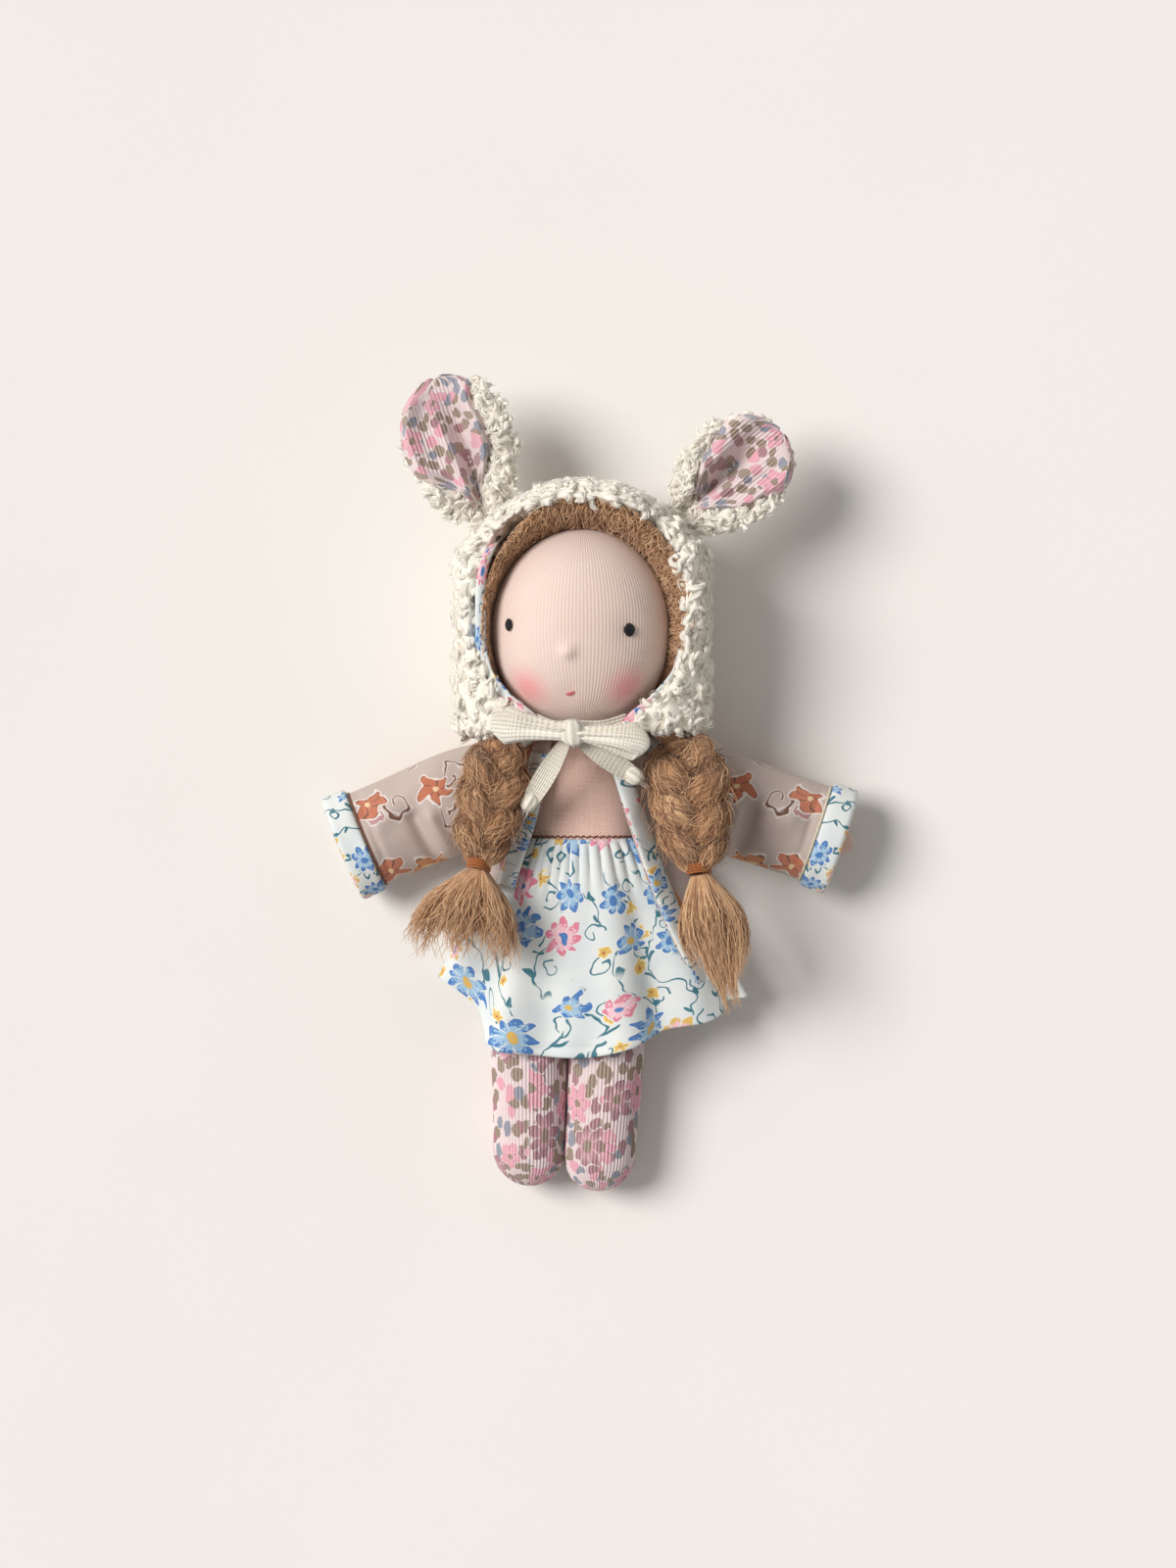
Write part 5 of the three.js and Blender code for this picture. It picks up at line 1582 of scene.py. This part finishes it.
def torso_place(u, v):
    """Stuffed linen bag: full at the hips, gathered to the neck, with soft pulls in the cloth."""
    angle = TAU * u
    top = TORSO_HIGH.y
    y = lerp(TORSO_LOW.y, top, v)
    half = TORSO_HALF * on_keys(TORSO_SHAPE, v)
    slack = 0.35 * math.cos(22 * angle) * smooth(y, top - 9, top - 1)
    slack += 0.3 * waver((16 * math.cos(angle), y, 16 * math.sin(angle)), 14, 14)
    half_z = lerp(half.z, half.x, smooth(y, top - 4, top))
    return around_y(TORSO_MID, y, half.x + slack, half_z + slack, angle)


def elastic_place(u, v):
    """Waist band under the skirt."""
    angle = TAU * u
    half = (ELASTIC_HIGH - ELASTIC_LOW) / 2
    slack = 0.12 * math.cos(40 * angle) - 0.25
    y = lerp(ELASTIC_LOW.y, ELASTIC_HIGH.y, v)
    return around_y(ELASTIC_MID, y, half.x + slack, half.z + slack, angle)


def waist_stitches():
    """Points of a wavy thread along the lower edge of the linen, across the front."""
    points = []
    for i in range(141):
        angle = math.radians(lerp(-80, 80, i / 140))
        y = WAIST_Y + 1.7 + 0.22 * math.sin(1.1 * i)
        at = torso_place(angle / TAU, (y - TORSO_LOW.y) / (TORSO_HIGH.y - TORSO_LOW.y))
        points.append(at + 0.3 * Vector((math.sin(angle), 0, math.cos(angle))))
    return points


class DOLL_OT_torso(bpy.types.Operator):
    """Linen body with its stuffing, the stitches on its lower edge, and the elastic round its waist"""

    bl_idname = "doll.torso"
    bl_label = "Torso"

    def execute(self, context):
        mesh = sheet_grid(132, 90, torso_place, (94, 56))
        body = add_piece("linen_body", mesh, ["torso_cover", "torso_stuffing"], "linen")
        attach(body, "torso")
        mesh = sheet_grid(160, 6, elastic_place, (96, 4))
        band = add_piece("waist_band", mesh, ["waist_elastic"], "elastic")
        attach(thicken(band, 0.4, offset=0), "torso")
        mesh = one_thread(waist_stitches(), WAIST_THREAD)
        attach(add_piece("waist_stitching", mesh, [], "brown_thread", slot="thread"), "torso")
        return {"FINISHED"}


# Jacket

JACKET_TOP = node_box("jacket_shell")[1].y
JACKET_HEM_HALF = 35.0
JACKET_LENGTH = 42.0
JACKET_DROP = 22.0
JACKET_FLAP = 5.0
JACKET_LIFT = 4.6
JACKET_ROWS = 70
JACKET_FLARE = JACKET_HEM_HALF - TORSO_HALF.x - JACKET_LIFT
JACKET_WIDTHS = [
    (0, -10.5), (0.08, -3.6), (0.2, -0.4), (0.34, 0.3), (0.6, 0.32 * JACKET_FLARE), (1, JACKET_FLARE),
]
JACKET_DEPTHS = [(0, -6), (0.08, -1.2), (0.2, 0), (1, 0)]
JACKET_CREASES = (((-30, 6), (-16, -4), 2.2, 1.0), ((24, 12), (33, -16), 2.4, 0.9))
ARMHOLE = 8.4
FRONT_EDGES = {
    "right": ((-7.5, 30.6), (-11, 10), (-17.5, -11), (-21, -24)),
    "left": ((6.5, 30.6), (12.3, 12), (19.6, -9), (26, -25), (34.5, -41)),
}
EDGE_SPANS = {"right": (0.12, 0.7), "left": (0.12, 0.97)}


def jacket_drop(angle):
    """Length of the jacket at an angle round the body, longest near the left front, and that nearness."""
    near = max(0.0, math.cos(angle - 0.6)) ** 6
    return JACKET_LENGTH + JACKET_DROP * near, near


def jacket_reach(t):
    """Half width and half depth of the jacket at t from its neck to its hem."""
    wide, deep = on_keys(JACKET_WIDTHS, t), on_keys(JACKET_DEPTHS, t)
    return TORSO_HALF.x + JACKET_LIFT + wide, TORSO_HALF.z + JACKET_LIFT + deep


def jacket_point(angle, t):
    """The jacket's cloth: close at the neck, wide at the hem and longest at the left front."""
    drop, near = jacket_drop(angle)
    half_x, half_z = jacket_reach(t)
    rise = math.sin(angle)
    power = lerp(1, 1.2, t) if rise > 0 else 1
    x = TORSO_MID.x + half_x * math.cos(angle)
    y = JACKET_TOP - drop * t
    z = BODY_Z + half_z * bulge(rise, power) + JACKET_FLAP * near * smooth(t, 0.3, 1)
    if z > BODY_Z:
        z += 0.8 * waver((x, y, 0), 9, 16) * smooth(t, 0.1, 0.4) + creases(x, y, JACKET_CREASES)
    return Vector((x, y, max(z, 0.4)))


def edge_angle(name, t):
    """Angle round the body at which the jacket's cloth meets a front edge."""
    side = SIDES[name]
    keys = [(-y, x) for x, y in FRONT_EDGES[name]]
    near, far = math.pi / 2, math.pi / 2 - side * math.pi / 2
    for _ in range(24):
        middle = (near + far) / 2
        at = jacket_point(middle, t)
        if side * (at.x - on_keys(keys, -at.y)) > 0:
            far = middle
        else:
            near = middle
    return (near + far) / 2


def jacket_front(x, y):
    """Height of the jacket's front at a place in plan, found by a few rounds of guess and mend."""
    angle = math.pi / 2
    for _ in range(8):
        t = clamp((JACKET_TOP - y) / jacket_drop(angle)[0])
        angle = math.acos(clamp((x - TORSO_MID.x) / jacket_reach(t)[0], -0.97, 0.97))
    return jacket_point(angle, t).z


def jacket_mesh():
    """The jacket from its right front edge round the back to its left one, with two armholes."""
    spans = []
    for i in range(JACKET_ROWS + 1):
        t = i / JACKET_ROWS
        spans.append((edge_angle("right", t), edge_angle("left", t) + TAU))
    mesh = sheet_grid(
        170, JACKET_ROWS, lambda u, v: jacket_point(lerp(*spans[round(v * JACKET_ROWS)], u), v), (170, 62)
    )
    pivots = [joint_place(f"arm_{name}_raise")[0] for name in SIDES]
    holes = [
        face
        for face in mesh.faces
        if any((face.calc_center_median() / MM - pivot).length < ARMHOLE for pivot in pivots)
    ]
    bmesh.ops.delete(mesh, geom=holes, context="FACES")
    return mesh


def front_edge_mesh(name):
    """A front edge with its lining rolled out: a soft strip laid on the jacket's front."""
    path = [Vector((x, y, 0)) for x, y in FRONT_EDGES[name]]

    def place(u, v):
        t = lerp(*EDGE_SPANS[name], v)
        ahead = (route(path, t + 0.01) - route(path, t - 0.01)).normalized()
        across = Vector((-ahead.y, ahead.x, 0)) * SIDES[name]
        angle = TAU * u
        x, y, _ = route(path, t) + across * (5.2 * (0.5 + 0.5 * bulge(math.cos(angle), 0.8)) - 0.2)
        lift = 1.35 + 1.3 * math.sin(angle) + 0.3 * waver((x, y, 0), 4, 18)
        return Vector((x, y, jacket_front(x, y) + lift))

    return sheet_grid(20, 90, place, (12, 60))


class DOLL_OT_jacket(bpy.types.Operator):
    """Open jacket: printed cotton lined with pale cotton, its front edges rolled out"""

    bl_idname = "doll.jacket"
    bl_label = "Jacket"

    def execute(self, context):
        nodes = ["jacket_shell", "jacket_lining"]
        coat = add_piece("jacket_body", jacket_mesh(), nodes, "jacket_cotton", "lining_cotton")
        thicken(coat, 1.0, inner=1)
        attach(coat, "torso")
        for name in FRONT_EDGES:
            mesh = front_edge_mesh(name)
            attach(add_piece(f"rolled_edge_{name}", mesh, [f"jacket_edge_{name}"], "lining_cotton"), "torso")
        return {"FINISHED"}


# Arms and sleeves

ARM_DROPS = {"left": 19, "right": 23}
ARM_LENGTHS = {"left": 56, "right": 46}
ARM_HALF = 7.0
ARM_SEEDS = {"left": 3, "right": 4}
SLEEVE_START = -5
SLEEVE_LENGTHS = {"left": 52.0, "right": 48.5}
SLEEVE_HALF = Vector((14.5, 10.75))
SLEEVE_WIDTHS = [(0, 0.84), (0.3, 1.02), (0.7, 1.0), (1, 1.0)]
SLEEVE_DEPTHS = [(0, 0.9), (0.3, 0.98), (1, 0.98)]
SLEEVE_CREASES = (
    ((2, -14), (20, 2), 3.4, 1.2),
    ((20, -17), (22, -2), 2.4, 2.0),
    ((25, -17), (26, 0), 2.2, -2.4),
    ((14, 13), (36, 3), 3.4, 1.4),
)
CUFF_WIDTH = 7.0
CUFF_TRIMS = {"left": ("cuff_piping", "pale_thread", 0.45), "right": ("cuff_seam", "brown_thread", 0.26)}


class ArmFrame:
    """Axes of one arm: its pivot, along it to the hand, across it to the head, and up."""

    def __init__(self, name):
        self.side = SIDES[name]
        self.pivot, _ = joint_place(f"arm_{name}_raise")
        drop = math.radians(ARM_DROPS[name])
        self.along = Vector((self.side * math.cos(drop), -math.sin(drop), 0))
        self.across = Vector((self.side * math.sin(drop), math.cos(drop), 0))
        self.length = ARM_LENGTHS[name]
        self.sleeve_length = SLEEVE_LENGTHS[name]
        self.cuff_start = 1 - CUFF_WIDTH / (self.sleeve_length - SLEEVE_START)
        self.seed = ARM_SEEDS[name]

    def point(self, along, across, up):
        return self.pivot + self.along * along + self.across * across + UP * up

    def limb(self, u, v):
        """Stuffed linen arm with a round hand."""
        angle = TAU * u
        straight = self.length - ARM_HALF
        if v < 0.3:
            turn = v / 0.3 * math.pi / 2
            along, ring = -ARM_HALF * math.cos(turn), math.sin(turn)
        elif v > 0.7:
            turn = (v - 0.7) / 0.3 * math.pi / 2
            along, ring = straight + ARM_HALF * math.sin(turn), math.cos(turn)
        else:
            along, ring = lerp(0, straight, (v - 0.3) / 0.4), 1.0
        half = ARM_HALF * ring * lerp(1, 0.64, smooth(along, 0, 0.8 * self.length))
        lump = 0.3 * ring * waver((along, 5 * math.cos(angle), 5 * math.sin(angle)), 7, self.seed)
        return self.point(along, (half + lump) * math.cos(angle), (0.9 * half + lump) * math.sin(angle))

    def sleeve(self, u, v, lift=0.0):
        """Loose sleeve: oval, thin at its sides, with folds from the underarm and a crease by the cuff."""
        angle = TAU * u
        along = lerp(SLEEVE_START, self.sleeve_length, v)
        wide = on_keys(SLEEVE_WIDTHS, v) * SLEEVE_HALF.x - 0.6 + lift
        deep = on_keys(SLEEVE_DEPTHS, v) * SLEEVE_HALF.y - 1.0 + lift
        rise = math.sin(angle)
        across = wide * math.cos(angle)
        up = deep * bulge(rise, 1.12)
        if rise > 0:
            seam = self.sleeve_length - 10
            pucker = 0.7 * waver((0, across, 0), 3, self.seed)
            spot = (along, across, 0)
            folds = 1.6 * waver(spot, 12, self.seed) + 0.3 * waver(spot, 6, self.seed + 1)
            folds += creases(along, across, SLEEVE_CREASES)
            folds += creases(along + pucker, across, [((seam, -20), (seam, 20), 0.9, -0.7)])
            up += folds * rise * smooth(v, 0.05, 0.2) * (1 - 0.6 * smooth(v, 0.86, 0.95))
        return self.point(along, across, max(up, 0.7 - self.pivot.z))

    def cuff(self, u, v):
        """Turned-back cuff: a soft band over the sleeve's end, rolled at both rims."""
        roll = math.sqrt(max(0.0, 1 - (2 * v - 1) ** 6))
        lift = 0.35 + 1.25 * roll + 0.2 * waver((14 * u, 4 * v, self.side), 1.7, 21)
        return self.sleeve(u, lerp(self.cuff_start, 1.012, v), lift)


class DOLL_OT_arms(bpy.types.Operator):
    """Two stuffed arms in loose sleeves with turned-back cuffs"""

    bl_idname = "doll.arms"
    bl_label = "Arms and sleeves"

    def execute(self, context):
        for name in SIDES:
            arm = ArmFrame(name)
            body = f"arm_{name}"
            mesh = sheet_grid(48, 60, arm.limb, (44, arm.length))
            nodes = [f"arm_cover_{name}", f"arm_stuffing_{name}"]
            limb = add_piece(f"linen_arm_{name}", mesh, nodes, "linen")
            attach(limb, body)
            mesh = sheet_grid(110, 90, arm.sleeve, (80, 52))
            cloths = "jacket_cotton", "lining_cotton"
            sleeve = add_piece(f"loose_sleeve_{name}", mesh, [f"sleeve_{name}"], *cloths)
            thicken(sleeve, 0.9, inner=1)
            tuple(arm.point(-4, 0, 0) * MM)
            tuple(arm.point(9, 0, 0) * MM)
            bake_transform(sleeve)
            mesh = sheet_grid(110, 18, arm.cuff, (80, 8))
            cuff = add_piece(f"turned_cuff_{name}", mesh, [f"cuff_{name}"], "lining_cotton")
            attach(thicken(cuff, 0.9), body)
            trim, yarn, radius = CUFF_TRIMS[name]
            ring = [arm.sleeve(i / 120, arm.cuff_start - 0.008, 0.25) for i in range(121)]
            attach(add_piece(trim, one_thread(ring, radius), [], yarn, slot="thread"), body)
        return {"FINISHED"}


# Skirt

SKIRT_X = 3.0
SKIRT_TOP = WAIST_Y + 1
SKIRT_EASE = 1.4
SKIRT_HEM_HALF = 42.0
SKIRT_HEM_FRONT = 25.5
SKIRT_HEM_BACK = 1.1
SKIRT_HEM = [
    (-39.7, -37), (-34, -41.5), (-29.5, -48), (-25.5, -56.5), (-15, -59.4), (2, -60.4), (12, -58.5),
    (19.5, -55.2), (27, -52.4), (38, -49.6), (45.5, -43.5),
]
HEM_STITCH = (((-40, -57.5), (45, -57.5), 0.5, -0.3),)


def skirt_place(u, v):
    """Gathered skirt: pleats at the waist that open into loose folds, its hem rising at the sides."""
    angle = TAU * u
    t = 1 - v
    rise = math.sin(angle)
    fold = 2.1 * t * math.cos(9 * angle + 0.6 * math.sin(2 * angle)) + 0.9 * t * math.cos(14 * angle + 1)
    fold += 0.6 * math.cos(46 * angle + 3 * math.sin(3 * angle)) * window(t, 0.0, 0.06, 0.02, 0.34)
    half = lerp(TORSO_HALF.x + SKIRT_EASE, SKIRT_HEM_HALF, t**0.85) + fold
    back = lerp(BODY_Z - TORSO_HALF.z - SKIRT_EASE, SKIRT_HEM_BACK, t**2.5)
    front = lerp(BODY_Z + TORSO_HALF.z + SKIRT_EASE, SKIRT_HEM_FRONT, t**1.6) + fold
    power = lerp(1, 1.25, t) if rise > 0 else lerp(1, 0.32, smooth(t, 0.22, 0.55))
    x = half * math.cos(angle) + lerp(TORSO_MID.x, SKIRT_X, t)
    y = lerp(SKIRT_TOP, on_keys(SKIRT_HEM, SKIRT_X + SKIRT_HEM_HALF * math.cos(angle)), t)
    z = (front + back) / 2 + (front - back) / 2 * bulge(rise, power)
    if rise > 0:
        z += 0.8 * t * waver((x, y, 0), 11, 24) + creases(x, y, HEM_STITCH)
    return Vector((x, y, max(0.5, z)))


class DOLL_OT_skirt(bpy.types.Operator):
    """Gathered skirt"""

    bl_idname = "doll.skirt"
    bl_label = "Skirt"

    def execute(self, context):
        mesh = sheet_grid(320, 84, skirt_place, (190, 61))
        nodes = ["skirt_yoke", "skirt_flare"]
        skirt = add_piece("printed_skirt", mesh, nodes, "garden_cotton", slot="skirt_cotton")
        thicken(skirt, 0.8, offset=1)
        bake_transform(skirt)
        return {"FINISHED"}


# Legs

LEG_HALF = Vector((10.5, 10.0))
LEG_LENGTHS = {"left": 65.3, "right": 63.8}
LEG_LEANS = {"left": -2.2, "right": 0.0}
LEG_SHAPE = [(-0.2, 0.94), (0.1, 0.98), (0.45, 1.0), (0.8, 0.95), (1, 0.92)]
LEG_SINK = 3.9
FOOT_ROUND = 9.6
HIP_ROUND = 7.5


def leg_mesh(name):
    """Stuffed corduroy leg: ribs along it, a round foot and a seam at its side."""
    hip, _ = joint_place(f"leg_{name}_spread")
    side = SIDES[name]
    long = LEG_LENGTHS[name]
    pitch = sizes().wale / MM
    wales = round(math.pi * (LEG_HALF.x + LEG_HALF.y) / pitch)
    tilt = math.asin(LEG_SINK / long)

    def place(u, v):
        angle = TAU * u
        if v > 0.82:
            turn = (v - 0.82) / 0.18 * 0.4 * math.pi
            down, ring = -HIP_ROUND * math.sin(turn), math.cos(turn)
        elif v < 0.24:
            turn = v / 0.24 * math.pi / 2
            down, ring = long - FOOT_ROUND + FOOT_ROUND * math.cos(turn), math.sin(turn)
        else:
            down, ring = lerp(long - FOOT_ROUND, 0, (v - 0.24) / 0.58), 1.0
        share = on_keys(LEG_SHAPE, down / long)
        slack = 0.4 * waver((5 * math.cos(angle), down * 0.5, 5 * math.sin(angle) + 40 * side), 4.5, 26)
        wale = 0.17 * math.cos(wales * angle) * smooth(ring, 0.05, 0.4)
        half_x, half_z = ((half * share + slack) * ring + wale for half in LEG_HALF)
        x = half_x * math.sin(angle) + LEG_LEANS[name] * smooth(down / long, 0.3, 1.0)
        z = half_z * math.cos(angle)
        y = -down * math.cos(tilt) - z * math.sin(tilt)
        return hip + Vector((x, y, z * math.cos(tilt) - down * math.sin(tilt)))

    return sheet_grid(wales * 6, 80, place, (wales * pitch, 74), start=(0, 50 * side))


class DOLL_OT_legs(bpy.types.Operator):
    """Two stuffed corduroy legs"""

    bl_idname = "doll.legs"
    bl_label = "Legs"

    def execute(self, context):
        for name in SIDES:
            nodes = [f"leg_cover_{name}", f"leg_stuffing_{name}"]
            leg = add_piece(f"corduroy_leg_{name}", leg_mesh(name), nodes, "corduroy")
            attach(leg, f"leg_{name}")
        return {"FINISHED"}


# Stage

VIEW_MIDDLE = Vector((2.75, 16.5, 27))
VIEW_HEIGHT = 440
LENS = 100
SENSOR = 36
TABLE_HALF = 3
DAYLIGHT = (1.0, 0.99, 0.985)
WINDOW_FROM = Vector((-0.63, 0.22, 0.74))
WINDOW_STRENGTH = 2.8
WINDOW_SPREAD = math.radians(30)
ROOM_STRENGTH = 0.33


class DOLL_OT_stage(bpy.types.Operator):
    """Pale tabletop, soft light from the upper left, and the camera straight above"""

    bl_idname = "doll.stage"
    bl_label = "Stage"

    def execute(self, context):
        scene = context.scene
        mesh = bmesh.new()
        bmesh.ops.create_grid(mesh, x_segments=1, y_segments=1, size=TABLE_HALF)
        table = link_mesh("tabletop", mesh, ["floor_paper"])
        light = bpy.data.lights.new("window", "SUN")
        light.energy = WINDOW_STRENGTH
        light.angle = WINDOW_SPREAD
        light.color = DAYLIGHT
        lamp = bpy.data.objects.new("window", light)
        lamp.rotation_euler = WINDOW_FROM.to_track_quat("Z", "Y").to_euler()
        scene.collection.objects.link(lamp)
        scene.world = bpy.data.worlds.new("soft_room")
        scene.world.use_nodes = True
        room = scene.world.node_tree.nodes["Background"].inputs
        room["Color"].default_value = (*DAYLIGHT, 1)
        room["Strength"].default_value = ROOM_STRENGTH
        view = bpy.data.cameras.new("camera")
        view.lens = LENS
        view.sensor_width = SENSOR
        scene.camera = bpy.data.objects.new("camera", view)
        scene.camera.location = (VIEW_MIDDLE + UP * VIEW_HEIGHT * LENS / SENSOR) * MM
        scene.collection.objects.link(scene.camera)
        scene.view_settings.view_transform = "Standard"
        return {"FINISHED"}


OPERATORS = (
    DOLL_OT_stage, DOLL_OT_head, DOLL_OT_hair, DOLL_OT_braids, DOLL_OT_bonnet, DOLL_OT_ears,
    DOLL_OT_bow, DOLL_OT_torso, DOLL_OT_skirt, DOLL_OT_jacket, DOLL_OT_arms, DOLL_OT_legs,
)


class DOLL_PT_pieces(bpy.types.Panel):
    """Lists the doll's pieces with their sizes and colours."""

    bl_idname = "DOLL_PT_pieces"
    bl_label = "Doll"
    bl_space_type = "VIEW_3D"
    bl_region_type = "UI"
    bl_category = "Doll"

    def draw(self, context):
        layout = self.layout
        for operator in OPERATORS:
            layout.operator(operator.bl_idname)
        for group in (context.scene.doll_sizes, context.scene.doll_colours):
            box = layout.box()
            for key in group.bl_rna.properties.keys():
                if key not in ("rna_type", "name"):
                    box.prop(group, key)


CLASSES = (DollColours, DollSizes, *OPERATORS, DOLL_PT_pieces)


def register():
    for each in CLASSES:
        bpy.utils.register_class(each)
    bpy.types.Scene.doll_colours = PointerProperty(type=DollColours)
    bpy.types.Scene.doll_sizes = PointerProperty(type=DollSizes)


def unregister():
    del bpy.types.Scene.doll_sizes
    del bpy.types.Scene.doll_colours
    for each in reversed(CLASSES):
        bpy.utils.unregister_class(each)


def main():
    """Builds every piece on the frame."""
    register()
    bpy.ops.doll.stage()
    bpy.ops.doll.head()
    bpy.ops.doll.hair()
    bpy.ops.doll.braids()
    bpy.ops.doll.bonnet()
    bpy.ops.doll.ears()
    bpy.ops.doll.bow()
    bpy.ops.doll.torso()
    bpy.ops.doll.skirt()
    bpy.ops.doll.jacket()
    bpy.ops.doll.arms()
    bpy.ops.doll.legs()


if __name__ == "__main__":
    main()
